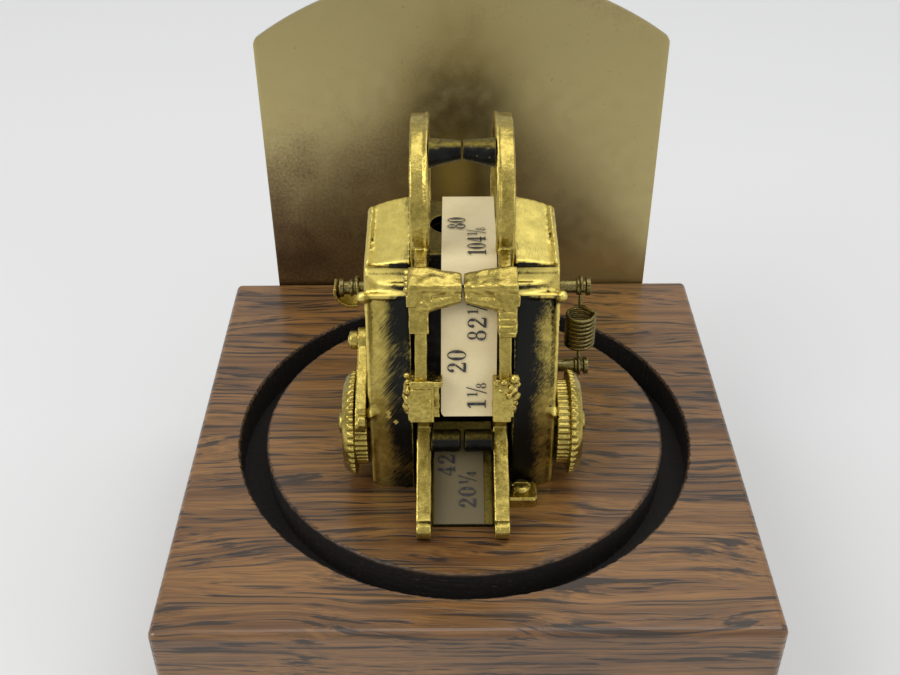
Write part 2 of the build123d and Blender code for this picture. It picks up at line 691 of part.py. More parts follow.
save(post("right", 1, LOWER_POST, LEVER_INNER_X), "right_lower_post")

with BuildPart() as lever_screw:
    with BuildSketch(side_plane(1, post_inner_x)):
        disc(LEVER_PIVOT, 0.8)
    extrude(amount=along(1, LEVER_OUTER_X + 0.1 - post_inner_x))
    with BuildSketch(side_plane(1, LEVER_OUTER_X + 0.1)):
        disc(LEVER_PIVOT, 1.6)
    extrude(amount=along(1, 0.9))
    fillet(lever_screw.faces().sort_by(Axis.X)[-1].edges(), 0.4)
    with BuildSketch(side_plane(1, LEVER_OUTER_X + 0.55)):
        slot_cut(LEVER_PIVOT, 4.0, 0.45)
    extrude(amount=along(1, 1.0), mode=Mode.SUBTRACT)
save(lever_screw, "lever_screw")

# ---------------------------------------------------------------- tension spring with its two hooks
upper_point = Vector(TICKER_X + SPRING_X, UPPER_POST[0], FLOOR + UPPER_POST[1])
lower_point = Vector(TICKER_X + SPRING_X, LOWER_POST[0], FLOOR + LOWER_POST[1])
pull = (upper_point - lower_point).normalized()
coil_length = SPRING_TURNS * SPRING_PITCH
coil_start = (upper_point + lower_point) / 2 - pull * (coil_length / 2)
coil_plane = Plane(origin=coil_start, x_dir=(1, 0, 0), z_dir=pull)

hook_distance = (upper_point - lower_point).length / 2
with BuildPart() as coil:
    with BuildLine(coil_plane):
        helix = Helix(SPRING_PITCH, coil_length, SPRING_R)
    with BuildSketch(Plane(origin=helix @ 0, z_dir=helix % 0)):
        Circle(SPRING_WIRE_R)
    sweep(path=helix, is_frenet=True)

with BuildPart() as hooks:
    for end, direction in ((helix @ 0, pull * -1), (helix @ 1, pull)):
        middle = (upper_point + lower_point) / 2 + direction * (coil_length / 2 + 0.45)
        eye_centre = (upper_point + lower_point) / 2 + direction * hook_distance
        eye_foot = eye_centre - direction * HOOK_R
        for first, last in ((end, middle), (middle, eye_foot)):
            with BuildLine():
                stretch = Line(first, last)
            with BuildSketch(Plane(origin=first, z_dir=stretch % 0)):
                Circle(SPRING_WIRE_R)
            sweep(path=stretch)
        with Locations(end, middle, eye_foot):
            Sphere(SPRING_WIRE_R)
        eye_plane = Plane(origin=eye_centre, x_dir=direction, z_dir=(1, 0, 0))
        with BuildLine(eye_plane):
            eye = CenterArc((0, 0), HOOK_R, 180, 275)
        with BuildSketch(Plane(origin=eye @ 0, z_dir=eye % 0)):
            Circle(SPRING_WIRE_R)
        sweep(path=eye)

with BuildPart() as tension_spring:
    add(coil)
    add(hooks)
save(tension_spring, "tension_spring")

# ---------------------------------------------------------------- lugs and their bolts
with BuildPart() as front_lug:
    with BuildSketch(Plane.XY.offset(FLOOR)):
        with Locations(lug_centres[0]):
            RectangleRounded(*lug_size, 0.8)
            Circle(BOLT_R + HOLE_CLEARANCE, mode=Mode.SUBTRACT)
    extrude(amount=LUG_THICKNESS)
    chamfer(front_lug.faces().sort_by(Axis.Z)[-1].outer_wire().edges(), 0.3)
front_lug_solid = front_lug.part - frames["right"]
with BuildPart() as right_front_lug:
    add(front_lug_solid.solids().sort_by(SortBy.VOLUME)[-1])
save(right_front_lug, "right_front_lug")

with BuildPart() as rear_lug:
    with BuildSketch(Plane.XY.offset(FLOOR)):
        with Locations(lug_centres[1]):
            RectangleRounded(*lug_size, 0.8)
            Circle(BOLT_R + HOLE_CLEARANCE, mode=Mode.SUBTRACT)
    extrude(amount=LUG_THICKNESS)
    chamfer(rear_lug.faces().sort_by(Axis.Z)[-1].outer_wire().edges(), 0.3)
save(rear_lug, "left_rear_lug")

bolt_seat = FLOOR + LUG_THICKNESS
with BuildPart() as mounting_bolts:
    with BuildSketch(Plane.XY.offset(bolt_seat)):
        with Locations(*lug_centres):
            Circle(BOLT_HEAD_R)
    extrude(amount=1.3)
    fillet(mounting_bolts.faces().group_by(Axis.Z)[-1].edges(), 0.75)
    with BuildSketch(Plane.XY.offset(bolt_seat)):
        with Locations(*lug_centres):
            Circle(BOLT_R)
    extrude(amount=-BOLT_DEPTH)
    with BuildSketch(Plane.XY.offset(bolt_seat + 1.3)):
        with Locations(*lug_centres):
            Rectangle(4.0, 0.45)
    extrude(amount=-0.5, mode=Mode.SUBTRACT)
save(mounting_bolts, "mounting_bolts")

# ---------------------------------------------------------------- rear legs and the bowed rear bar
for name, side in SIDES:
    with BuildPart() as rear_leg:
        leg_centre = (TICKER_X + side * REAR_LEG_X, FLOOR + REAR_LEG_Z)
        collars = [(CORE_REAR_Y - 2.5, REAR_LEG_END_Y, REAR_LEG_R)]
        collars += [
            (CORE_REAR_Y + step, CORE_REAR_Y + step + 1.0, REAR_LEG_R + 0.45) for step in (1.5, 4.5, 7.5)
        ]
        collars += [(REAR_LEG_END_Y - 3.2, REAR_LEG_END_Y, REAR_LEG_R + 0.7)]
        for start_y, end_y, radius in collars:
            with BuildSketch(Plane.XZ.offset(-start_y)):
                disc(leg_centre, radius)
            extrude(amount=start_y - end_y)
        with BuildSketch(Plane.XZ.offset(3.2 - REAR_LEG_END_Y)):
            with Locations((leg_centre[0], FLOOR + REAR_LEG_Z / 2)):
                Rectangle(2.4, REAR_LEG_Z)
        extrude(amount=-2.6)
    save(rear_leg, f"{name}_rear_leg")

bar_path = [(CORE_REAR_Y + 0.7, 29.5), (CORE_REAR_Y + 0.7, 23.5), (14.5, 15.0), (27.0, 9.5)]
with BuildPart() as rear_bar:
    with BuildSketch(side_plane(-1, REAR_BAR_WIDTH / 2)):
        with BuildLine() as bar_line:
            FilletPolyline(*bar_path, radius=[5.0, 9.0])
        trace(bar_line.line, REAR_BAR_THICKNESS)
    extrude(amount=REAR_BAR_WIDTH)
    with BuildSketch(Plane.XZ.offset(-CORE_REAR_Y)):
        disc((TICKER_X, FLOOR + REAR_BAR_SCREW_Z), 0.8 + HOLE_CLEARANCE)
    extrude(amount=-3.0, mode=Mode.SUBTRACT)
    with BuildSketch(side_plane(-1, 1.0)):
        disc((21.0, 13.2), 1.2)
    extrude(amount=2.0)
save(rear_bar, "rear_bar")

with BuildPart() as rear_bar_screw:
    screw_y = CORE_REAR_Y + 0.7 + REAR_BAR_THICKNESS / 2
    with BuildSketch(Plane.XZ.offset(-screw_y)):
        disc((TICKER_X, FLOOR + REAR_BAR_SCREW_Z), 1.6)
    extrude(amount=-1.0)
    fillet(rear_bar_screw.faces().sort_by(Axis.Y)[-1].edges(), 0.5)
    with BuildSketch(Plane.XZ.offset(-screw_y)):
        disc((TICKER_X, FLOOR + REAR_BAR_SCREW_Z), 0.8)
    extrude(amount=4.2)
    with BuildSketch(Plane.XZ.offset(-screw_y - 1.0)):
        slot_cut((TICKER_X, FLOOR + REAR_BAR_SCREW_Z), 4.0, 0.45)
    extrude(amount=0.45, mode=Mode.SUBTRACT)
save(rear_bar_screw, "rear_bar_screw")
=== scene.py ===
"""Finishes and cast details of a stock ticker bookend, built around its fixed frame.

Frame: metres, +Z up, -Y to the front where the tape runs out, +Y to the brass plate.
Origin: centre of the bottom face.
"""
import json
import math

import bmesh
import bpy
from mathutils import Matrix, Vector, noise

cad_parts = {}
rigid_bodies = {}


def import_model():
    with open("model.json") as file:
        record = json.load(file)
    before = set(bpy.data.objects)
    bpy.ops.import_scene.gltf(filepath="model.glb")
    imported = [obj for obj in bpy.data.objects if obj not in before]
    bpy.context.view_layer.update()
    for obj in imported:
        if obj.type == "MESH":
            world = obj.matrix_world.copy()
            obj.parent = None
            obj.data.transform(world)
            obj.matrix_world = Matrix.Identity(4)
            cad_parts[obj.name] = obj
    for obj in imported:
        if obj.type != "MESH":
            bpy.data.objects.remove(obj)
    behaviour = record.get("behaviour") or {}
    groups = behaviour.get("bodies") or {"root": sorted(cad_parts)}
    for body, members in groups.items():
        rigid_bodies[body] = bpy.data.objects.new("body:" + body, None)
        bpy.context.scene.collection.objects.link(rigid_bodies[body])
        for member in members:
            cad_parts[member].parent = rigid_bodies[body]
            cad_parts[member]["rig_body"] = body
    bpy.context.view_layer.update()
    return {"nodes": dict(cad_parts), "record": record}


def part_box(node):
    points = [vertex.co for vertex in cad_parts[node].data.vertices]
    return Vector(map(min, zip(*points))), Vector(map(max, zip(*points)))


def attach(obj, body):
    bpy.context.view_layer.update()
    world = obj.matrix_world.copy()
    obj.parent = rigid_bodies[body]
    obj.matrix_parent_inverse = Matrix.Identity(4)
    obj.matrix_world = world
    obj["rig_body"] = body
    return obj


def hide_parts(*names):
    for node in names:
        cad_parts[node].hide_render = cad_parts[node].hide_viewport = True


bl_info = {
    "name": "Stock Ticker Bookend",
    "version": (1, 0, 0),
    "blender": (4, 5, 0),
    "location": "3D View > Sidebar > Ticker",
    "description": "Finishes and cast details of a stock ticker bookend around its fixed frame",
    "category": "Object",
}

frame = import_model()
NODES = frame["nodes"]

MM = 0.001
MERGE = 1e-6
SIDES = (("left", -1), ("right", 1))

BASE_LOW, BASE_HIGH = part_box("oak_base")
FLOOR = BASE_HIGH.z
CORE_LOW, CORE_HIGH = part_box("core_block")
TICKER_X = (CORE_LOW.x + CORE_HIGH.x) / 2
TAPE_LOW, TAPE_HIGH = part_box("upper_tape")
PLATE_LOW, PLATE_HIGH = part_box("back_plate")


# ---------------------------------------------------------------- properties
def colour_setting(name, description, default):
    """A colour setting with alpha."""
    return bpy.props.FloatVectorProperty(
        name=name, description=description, subtype="COLOR", size=4, min=0, max=1, default=default)


def length_setting(name, description, default):
    """A length setting."""
    return bpy.props.FloatProperty(name=name, description=description, default=default, unit="LENGTH")


class OakLook(bpy.types.PropertyGroup):
    light: colour_setting(
        "Early Wood", "Colour between the grain lines", (0.26, 0.125, 0.036, 1))
    dark: colour_setting(
        "Late Wood", "Colour of the dark grain lines", (0.017, 0.010, 0.006, 1))
    groove_outer: length_setting("Groove Outer Radius", "Outer radius of the round groove", 37.7 * MM)
    groove_inner: length_setting("Groove Inner Radius", "Inner radius of the round groove", 33.3 * MM)
    groove_depth: length_setting("Groove Depth", "Depth of the round groove", 6.0 * MM)
    tear_out: length_setting("Tear Out", "How ragged the cutter left the groove's rims", 0.22 * MM)


class BrassLook(bpy.types.PropertyGroup):
    bare: colour_setting(
        "Bare Brass", "Colour of rubbed brass", (0.60, 0.47, 0.125, 1))
    # Painted highlight as well as polish: this colour brightens every upward face of the housings, besides
    # their rubbed edges.
    polished_and_lit: colour_setting(
        "Polished Brass", "Colour of the polished tops", (0.86, 0.70, 0.19, 1))
    aged: colour_setting(
        "Aged Brass", "Colour of brass that has toned", (0.23, 0.172, 0.03, 1))
    # Also painted shade: this colour darkens the castings' downward faces and, on the housings, the recessed
    # band, the right housing and the middle of the ticker.
    patina_and_shade: colour_setting(
        "Patina", "Colour of the black antique finish", (0.022, 0.022, 0.020, 1))
    sheet: colour_setting(
        "Sheet Brass", "Colour of the satin back plate", (0.45, 0.37, 0.17, 1))
    # Also the colour of the painted shade low on the left of the plate.
    sheet_stain_and_shade: colour_setting(
        "Sheet Stain", "Colour of the brown stains on the plate", (0.15, 0.095, 0.05, 1))


class SheetLook(bpy.types.PropertyGroup):
    arch_rise: length_setting("Arch Rise", "Height of the plate's arch above its shoulders", 12.0 * MM)


class TapeLook(bpy.types.PropertyGroup):
    paper: colour_setting(
        "Paper", "Colour of the aged paper", (0.70, 0.60, 0.36, 1))
    ink: colour_setting(
        "Ink", "Colour of the print", (0.018, 0.018, 0.020, 1))
    digit_height: length_setting("Digit Height", "Height of a printed digit", 2.65 * MM)


class StageLook(bpy.types.PropertyGroup):
    floor: colour_setting(
        "Table", "Colour of the table", (0.72, 0.73, 0.74, 1))
    sky: colour_setting(
        "Room", "Colour of the room's light", (0.97, 0.97, 0.95, 1))
    sky_strength: bpy.props.FloatProperty(
        name="Room Light", description="Strength of the room's light", default=0.62, min=0)


# ---------------------------------------------------------------- shader wiring
class Wiring:
    """Adds nodes to a tree from left to right and joins them by socket name."""

    def __init__(self, tree):
        self.tree = tree
        self.count = 0

    def add(self, kind, inputs=None, **settings):
        node = self.tree.nodes.new(kind)
        node.location = (self.count * 180, -(self.count % 4) * 160)
        self.count += 1
        for key, value in settings.items():
            setattr(node, key, value)
        for key, value in (inputs or {}).items():
            self.put(value, node.inputs[key])
        return node

    def put(self, value, socket):
        if isinstance(value, bpy.types.NodeSocket):
            self.tree.links.new(value, socket)
        else:
            socket.default_value = value

    def maths(self, operation, a, b=0.0, clamp=False):
        return self.add("ShaderNodeMath", {0: a, 1: b}, operation=operation, use_clamp=clamp).outputs[0]

    def plus(self, a, b, clamp=False):
        return self.maths("ADD", a, b, clamp)

    def less(self, a, b, clamp=False):
        return self.maths("SUBTRACT", a, b, clamp)

    def times(self, a, b, clamp=False):
        return self.maths("MULTIPLY", a, b, clamp)

    def axes(self, vector):
        return self.add("ShaderNodeSeparateXYZ", {0: vector}).outputs

    def vector(self, operation, a, b=(0, 0, 0)):
        return self.add("ShaderNodeVectorMath", {0: a, 1: b}, operation=operation).outputs[0]

    def step(self, value, low, high, to_low=0.0, to_high=1.0, smooth=True):
        """value taken from the range low..high to to_low..to_high, held at its ends."""
        node = self.add(
            "ShaderNodeMapRange",
            {"Value": value, "From Min": low, "From Max": high, "To Min": to_low, "To Max": to_high},
            interpolation_type="SMOOTHSTEP" if smooth else "LINEAR",
        )
        return node.outputs[0]

    def mix(self, factor, a, b):
        node = self.add("ShaderNodeMix", data_type="RGBA")
        self.put(factor, node.inputs[0])
        self.put(a, node.inputs[6])
        self.put(b, node.inputs[7])
        return node.outputs[2]

    def between(self, factor, a, b):
        node = self.add("ShaderNodeMix", data_type="FLOAT")
        for value, index in ((factor, 0), (a, 2), (b, 3)):
            self.put(value, node.inputs[index])
        return node.outputs[0]

    def noise(self, vector, scale, detail=3.0, roughness=0.5):
        return self.add("ShaderNodeTexNoise", {"Vector": vector, "Scale": scale, "Detail": detail,
                                               "Roughness": roughness}).outputs[0]

    def mapping(self, vector, scale, shift=(0, 0, 0)):
        return self.add(
            "ShaderNodeMapping", {"Vector": vector, "Scale": scale, "Location": shift}).outputs[0]


def new_group(name, inputs, outputs):
    """A shader node group with named sockets, its Wiring, and its inner input and output nodes."""
    tree = bpy.data.node_groups.new(name, "ShaderNodeTree")
    kinds = {"f": "NodeSocketFloat", "v": "NodeSocketVector"}
    for socket_name, kind, default in inputs:
        socket = tree.interface.new_socket(socket_name, in_out="INPUT", socket_type=kinds[kind])
        socket.default_value = default
    for socket_name, kind in outputs:
        tree.interface.new_socket(socket_name, in_out="OUTPUT", socket_type=kinds[kind])
    wire = Wiring(tree)
    inner = wire.add("NodeGroupInput").outputs
    outlet = wire.add("NodeGroupOutput").inputs
    return tree, wire, inner, outlet


def place(wire, name, **inputs):
    """Puts a node group into a material, and gives its outputs."""
    named = {key.replace("_", " "): value for key, value in inputs.items()}
    node = wire.add("ShaderNodeGroup", node_tree=bpy.data.node_groups[name])
    for key, value in named.items():
        wire.put(value, node.inputs[key])
    return node.outputs


def group_cast_skin():
    """Uneven foundry skin: broad swells, small lumps and fine pits, in millimetres."""
    tree, wire, inner, outlet = new_group(
        "Cast Skin", [("Vector", "v", (0, 0, 0)), ("Pits", "f", 0.5)], [("Height", "f"), ("Pit Mask", "f")])
    swell = wire.noise(inner["Vector"], 0.9, 2.0)
    lumps = wire.noise(inner["Vector"], 3.2, 3.0, 0.6)
    pit_noise = wire.noise(inner["Vector"], 7.5, 2.0, 0.65)
    pits = wire.step(pit_noise, 0.60, 0.72)
    raised = wire.plus(wire.times(swell, 0.55), wire.times(lumps, 0.4))
    sunk = wire.times(wire.times(pits, inner["Pits"]), 0.35)
    wire.put(wire.less(raised, sunk), outlet["Height"])
    wire.put(pits, outlet["Pit Mask"])
    return tree


def group_brush_strokes():
    """Fine straight strokes along the turned X axis, from coarse to hair-thin."""
    tree, wire, inner, outlet = new_group(
        "Brush Strokes",
        [("Vector", "v", (0, 0, 0)), ("Turn", "v", (0, 0, 0)), ("Length", "f", 4.0), ("Width", "f", 0.12)],
        [("Strokes", "f")])
    along = wire.maths("DIVIDE", 1.0, inner["Length"])
    across = wire.maths("DIVIDE", 1.0, inner["Width"])
    scale = wire.add("ShaderNodeCombineXYZ", {"X": along, "Y": across, "Z": across}).outputs[0]
    turned = wire.add(
        "ShaderNodeMapping", {"Vector": inner["Vector"], "Rotation": inner["Turn"]}, vector_type="TEXTURE"
    ).outputs[0]
    stretched = wire.vector("MULTIPLY", turned, scale)
    coarse = wire.noise(stretched, 0.45, 2.0, 0.5)
    fine = wire.noise(stretched, 1.0, 3.0, 0.6)
    both = wire.plus(wire.times(coarse, 0.55), wire.times(fine, 0.45))
    wire.put(wire.step(both, 0.32, 0.68), outlet["Strokes"])
    return tree


def group_rubbed_edges():
    """Where hands and polish have rubbed the metal bare (Rubbed), and where dirt and the black antique finish
    stay (Cavity).
    """
    tree, wire, inner, outlet = new_group(
        "Rubbed Edges", [("Vector", "v", (0, 0, 0)), ("Sharpness", "f", 1.0)],
        [("Rubbed", "f"), ("Cavity", "f")])
    point = wire.add("ShaderNodeNewGeometry").outputs["Pointiness"]
    breakup = wire.noise(inner["Vector"], 1.6, 3.0, 0.6)
    raised = wire.times(wire.less(point, 0.5), inner["Sharpness"])
    jitter = wire.times(wire.less(breakup, 0.5), 0.05)
    sum_of_both = wire.plus(raised, jitter)
    wire.put(wire.step(sum_of_both, 0.012, 0.065), outlet["Rubbed"])
    wire.put(wire.step(sum_of_both, -0.012, -0.065), outlet["Cavity"])
    return tree


def group_clouds():
    """Soft clouds that break up a finish: Broad for stains, Fine for mottling."""
    tree, wire, inner, outlet = new_group(
        "Clouds", [("Vector", "v", (0, 0, 0)), ("Size", "f", 10.0)], [("Broad", "f"), ("Fine", "f")])
    scale = wire.maths("DIVIDE", 1.0, inner["Size"])
    scaled = wire.vector("MULTIPLY", inner["Vector"], wire.add(
        "ShaderNodeCombineXYZ", {"X": scale, "Y": scale, "Z": scale}).outputs[0])
    wire.put(wire.step(wire.noise(scaled, 1.0, 4.0, 0.55), 0.35, 0.68), outlet["Broad"])
    wire.put(wire.step(wire.noise(scaled, 6.0, 4.0, 0.65), 0.33, 0.67), outlet["Fine"])
    return tree


def new_material(name):
    """An empty material, its Wiring, its Principled shader and the object's coordinates in millimetres."""
    material = bpy.data.materials.new(name)
    material.use_nodes = True
    tree = material.node_tree
    tree.nodes.clear()
    wire = Wiring(tree)
    coords = wire.add("ShaderNodeTexCoord")
    vector = wire.mapping(coords.outputs["Object"], scale=(1 / MM, 1 / MM, 1 / MM))
    shader = wire.add("ShaderNodeBsdfPrincipled")
    outlet = wire.add("ShaderNodeOutputMaterial")
    wire.put(shader.outputs[0], outlet.inputs[0])
    return material, wire, shader, coords, vector


def bump(wire, shader, height, distance, strength=1.0):
    node = wire.add("ShaderNodeBump", {"Strength": strength, "Distance": distance, "Height": height})
    wire.put(node.outputs[0], shader.inputs["Normal"])


def cast_brass(brass):
    """Polished antique casting: gold on raised parts, olive in between, black in the hollows, and painted
    shade on faces that point down.
    """
    material, wire, shader, coords, vector = new_material("cast_brass")
    skin = place(wire, "Cast Skin", Vector=vector, Pits=0.5)
    edges = place(wire, "Rubbed Edges", Vector=vector, Sharpness=1.0)
    clouds = place(wire, "Clouds", Vector=vector, Size=4.0)
    normal = wire.axes(coords.outputs["Normal"])
    # Painted shade: faces that point down are darkened towards the black antique colour.
    under = wire.step(normal["Z"], 0.15, -0.75)
    toned = wire.times(clouds["Fine"], 0.45)
    toned = wire.plus(toned, wire.times(clouds["Broad"], 0.45), clamp=True)
    gold = wire.mix(toned, tuple(brass.bare), tuple(brass.aged))
    gold = wire.mix(wire.times(edges["Rubbed"], 0.8), gold, tuple(brass.bare))
    dark = wire.plus(wire.times(edges["Cavity"], 0.75),
                      wire.times(skin["Pit Mask"], 0.3))
    dark = wire.plus(dark, wire.times(under, 0.35))
    dark = wire.less(dark, wire.times(edges["Rubbed"], 0.5), clamp=True)
    colour = wire.mix(dark, gold, tuple(brass.patina_and_shade))
    wire.put(colour, shader.inputs["Base Color"])
    wire.put(wire.step(dark, 0.0, 1.0, 0.24, 0.52, smooth=False), shader.inputs["Roughness"])
    shader.inputs["Metallic"].default_value = 1.0
    bump(wire, shader, skin["Height"], 0.10 * MM, 0.8)
    return material


STROKES_SLANT = (0, math.radians(-52), 0)
STROKES_LENGTHWISE = (0, 0, math.radians(90))
STROKES_UPRIGHT = (0, math.radians(90), 0)
# Painted shade: a dark band on the housings' recessed step, between these heights and in front of this depth,
# in millimetres.
RECESS_SHADE_LOW = FLOOR / MM + 36.4
RECESS_SHADE_HIGH = FLOOR / MM + 38.3
RECESS_SHADE_BACK = -8.0


def brushed_brass(brass):
    """Housings: gold brushed over black that deepens towards the middle of the ticker, partly antique finish
    and partly painted shade, with painted highlight on the tops and painted shade in the recessed band and on
    the right housing.
    """
    material, wire, shader, coords, vector = new_material("brushed_brass")
    edges = place(wire, "Rubbed Edges", Vector=vector, Sharpness=1.0)
    clouds = place(wire, "Clouds", Vector=vector, Size=7.0)
    skin = place(wire, "Cast Skin", Vector=vector, Pits=0.15)
    slant = place(wire, "Brush Strokes", Vector=vector, Turn=STROKES_SLANT, Length=5.0, Width=0.085)
    lengthwise = place(wire, "Brush Strokes", Vector=vector, Turn=STROKES_LENGTHWISE, Length=7.0, Width=0.08)
    position = wire.axes(vector)
    normal = wire.axes(coords.outputs["Normal"])
    top = wire.step(normal["Z"], 0.35, 0.7)
    strokes = wire.between(top, slant["Strokes"], lengthwise["Strokes"])
    reach = wire.maths("ABSOLUTE", wire.less(position["X"], TICKER_X / MM))
    # Darker towards the middle of the ticker: the antique black finish, and painted shade between the
    # housings and the frames.
    inner_shade_and_patina = wire.step(reach, 13.2, 8.6)
    top_shade_and_patina = wire.step(reach, 9.2, 7.2, 0.0, 0.55)
    # Painted shade: the whole right housing is darker.
    right = wire.step(position["X"], TICKER_X / MM - 1.0, TICKER_X / MM + 1.0, 0.0, 0.38)
    dark = wire.between(top, wire.plus(inner_shade_and_patina, right), top_shade_and_patina)
    dark = wire.times(dark, 0.92)
    dark = wire.plus(dark, wire.times(wire.less(clouds["Broad"], 0.5), 0.45))
    stroke_pull = wire.times(wire.less(strokes, 0.5), 0.42)
    dark = wire.less(dark, stroke_pull)
    # Painted shade in the recessed band.
    recess_shade = wire.times(wire.step(position["Z"], RECESS_SHADE_LOW - 0.2, RECESS_SHADE_LOW + 0.2),
                        wire.step(position["Z"], RECESS_SHADE_HIGH + 0.2, RECESS_SHADE_HIGH - 0.2))
    recess_shade = wire.times(recess_shade, wire.step(position["Y"], RECESS_SHADE_BACK, RECESS_SHADE_BACK - 0.6))
    dark = wire.plus(dark, wire.times(edges["Cavity"], 0.9))
    dark = wire.plus(dark, recess_shade)
    dark = wire.less(dark, wire.times(edges["Rubbed"], 0.9))
    dark = wire.step(dark, 0.05, 0.85)
    # Painted highlight: faces that point up take the brighter top colour and less toning.
    gold_with_top_highlight = wire.mix(top, tuple(brass.bare), tuple(brass.polished_and_lit))
    toning_less_on_tops = wire.between(top, 0.5, 0.2)
    gold = wire.mix(wire.times(clouds["Fine"], toning_less_on_tops), gold_with_top_highlight, tuple(brass.aged))
    gold = wire.mix(wire.times(edges["Rubbed"], 0.9), gold, tuple(brass.polished_and_lit))
    wire.put(wire.mix(dark, gold, tuple(brass.patina_and_shade)), shader.inputs["Base Color"])
    wire.put(wire.step(strokes, 0.0, 1.0, 0.42, 0.27, smooth=False), shader.inputs["Roughness"])
    shader.inputs["Metallic"].default_value = 1.0
    height = wire.plus(wire.times(strokes, 0.35), skin["Height"])
    bump(wire, shader, height, 0.05 * MM, 0.8)
    return material


def blackened_brass(brass):
    """Parts left dark: near-black all round, with brown-gold painted highlight on faces that point up and
    brown-gold wear on the edges.
    """
    material, wire, shader, coords, vector = new_material("blackened_brass")
    edges = place(wire, "Rubbed Edges", Vector=vector, Sharpness=1.0)
    clouds = place(wire, "Clouds", Vector=vector, Size=2.5)
    skin = place(wire, "Cast Skin", Vector=vector, Pits=0.4)
    normal = wire.axes(coords.outputs["Normal"])
    # Painted highlight: faces that point up turn brown-gold.
    brightened = wire.step(normal["Z"], 0.62, 0.86)
    brightened = wire.times(brightened, wire.step(clouds["Fine"], 0.0, 1.0, 0.35, 0.8, smooth=False))
    brightened = wire.plus(brightened, wire.times(edges["Rubbed"], 0.5), clamp=True)
    dark = wire.mix(clouds["Broad"], tuple(brass.patina_and_shade), (0.012, 0.012, 0.013, 1))
    wire.put(wire.mix(brightened, dark, tuple(brass.aged)), shader.inputs["Base Color"])
    wire.put(wire.step(clouds["Fine"], 0.0, 1.0, 0.30, 0.5, smooth=False), shader.inputs["Roughness"])
    shader.inputs["Metallic"].default_value = 1.0
    bump(wire, shader, skin["Height"], 0.06 * MM, 0.7)
    return material


def wire_brass(brass):
    """Drawn brass wire and turned pins: dark between the turns, bright drag lines where it rubs."""
    material, wire, shader, coords, vector = new_material("spring_wire")
    edges = place(wire, "Rubbed Edges", Vector=vector, Sharpness=0.6)
    clouds = place(wire, "Clouds", Vector=vector, Size=1.6)
    drag = place(wire, "Brush Strokes", Vector=vector, Turn=(0, 0, 0), Length=2.0, Width=0.08)
    brightened = wire.plus(wire.times(edges["Rubbed"], 0.5),
                      wire.times(drag["Strokes"], 0.35), clamp=True)
    dull = wire.mix(clouds["Fine"], tuple(brass.aged), tuple(brass.patina_and_shade))
    wire.put(wire.mix(brightened, dull, (0.52, 0.45, 0.22, 1)), shader.inputs["Base Color"])
    wire.put(wire.step(clouds["Broad"], 0.0, 1.0, 0.2, 0.36, smooth=False), shader.inputs["Roughness"])
    shader.inputs["Metallic"].default_value = 1.0
    bump(wire, shader, drag["Strokes"], 0.02 * MM, 0.6)
    return material


def screw_brass(brass):
    """Bright turned screw heads, mottled, with the black antique finish in the slots."""
    material, wire, shader, coords, vector = new_material("screw_brass")
    edges = place(wire, "Rubbed Edges", Vector=vector, Sharpness=0.8)
    clouds = place(wire, "Clouds", Vector=vector, Size=1.5)
    gold = wire.mix(wire.times(clouds["Fine"], 0.6), (0.74, 0.58, 0.24, 1), tuple(brass.aged))
    dark = wire.times(edges["Cavity"], 0.85, clamp=True)
    wire.put(wire.mix(dark, gold, tuple(brass.patina_and_shade)), shader.inputs["Base Color"])
    wire.put(wire.step(clouds["Broad"], 0.0, 1.0, 0.18, 0.34, smooth=False), shader.inputs["Roughness"])
    shader.inputs["Metallic"].default_value = 1.0
    bump(wire, shader, clouds["Fine"], 0.02 * MM, 0.5)
    return material


# Painted shade on the plate: darker from the first height down to the second, and from the first width
# leftwards to the second, in millimetres.
PLATE_SHADE_FADES_Z, PLATE_SHADE_FULL_Z = 80.0, 44.0
PLATE_SHADE_FADES_X, PLATE_SHADE_FULL_X = 22.0, -30.0


def sheet_brass(brass):
    """Satin rolled sheet: faint rolling lines, brown staining in clouds, painted shade low on the left, and
    specks.
    """
    material, wire, shader, coords, vector = new_material("sheet_brass")
    clouds = place(wire, "Clouds", Vector=vector, Size=26.0)
    mottle = place(wire, "Clouds", Vector=wire.vector("ADD", vector, (31.0, 7.0, 19.0)), Size=3.2)
    rolling = place(wire, "Brush Strokes", Vector=vector, Turn=STROKES_UPRIGHT, Length=30.0, Width=0.22)
    position = wire.axes(vector)
    # Painted shade: darker low on the left of the plate.
    low = wire.step(position["Z"], PLATE_SHADE_FADES_Z, PLATE_SHADE_FULL_Z)
    left = wire.step(position["X"], PLATE_SHADE_FADES_X, PLATE_SHADE_FULL_X)
    stain_and_shade = wire.times(wire.times(low, left), 0.85)
    stain_and_shade = wire.plus(stain_and_shade, wire.times(wire.less(clouds["Broad"], 0.45), 0.5))
    stain_and_shade = wire.plus(stain_and_shade, wire.times(wire.less(mottle["Fine"], 0.5), 0.22))
    stain_and_shade = wire.step(stain_and_shade, 0.05, 1.0)
    specks = wire.step(wire.noise(vector, 1.1, 2.0, 0.8), 0.69, 0.74)
    toned = wire.mix(stain_and_shade, tuple(brass.sheet), tuple(brass.sheet_stain_and_shade))
    toned = wire.mix(wire.times(specks, 0.35), toned, (0.10, 0.07, 0.04, 1))
    wire.put(toned, shader.inputs["Base Color"])
    rough = wire.plus(wire.step(mottle["Broad"], 0.0, 1.0, 0.30, 0.38, smooth=False), wire.times(stain_and_shade, 0.08))
    wire.put(rough, shader.inputs["Roughness"])
    shader.inputs["Metallic"].default_value = 1.0
    height = wire.plus(wire.times(rolling["Strokes"], 0.08), wire.times(mottle["Fine"], 0.3))
    bump(wire, shader, height, 0.015 * MM, 0.7)
    return material


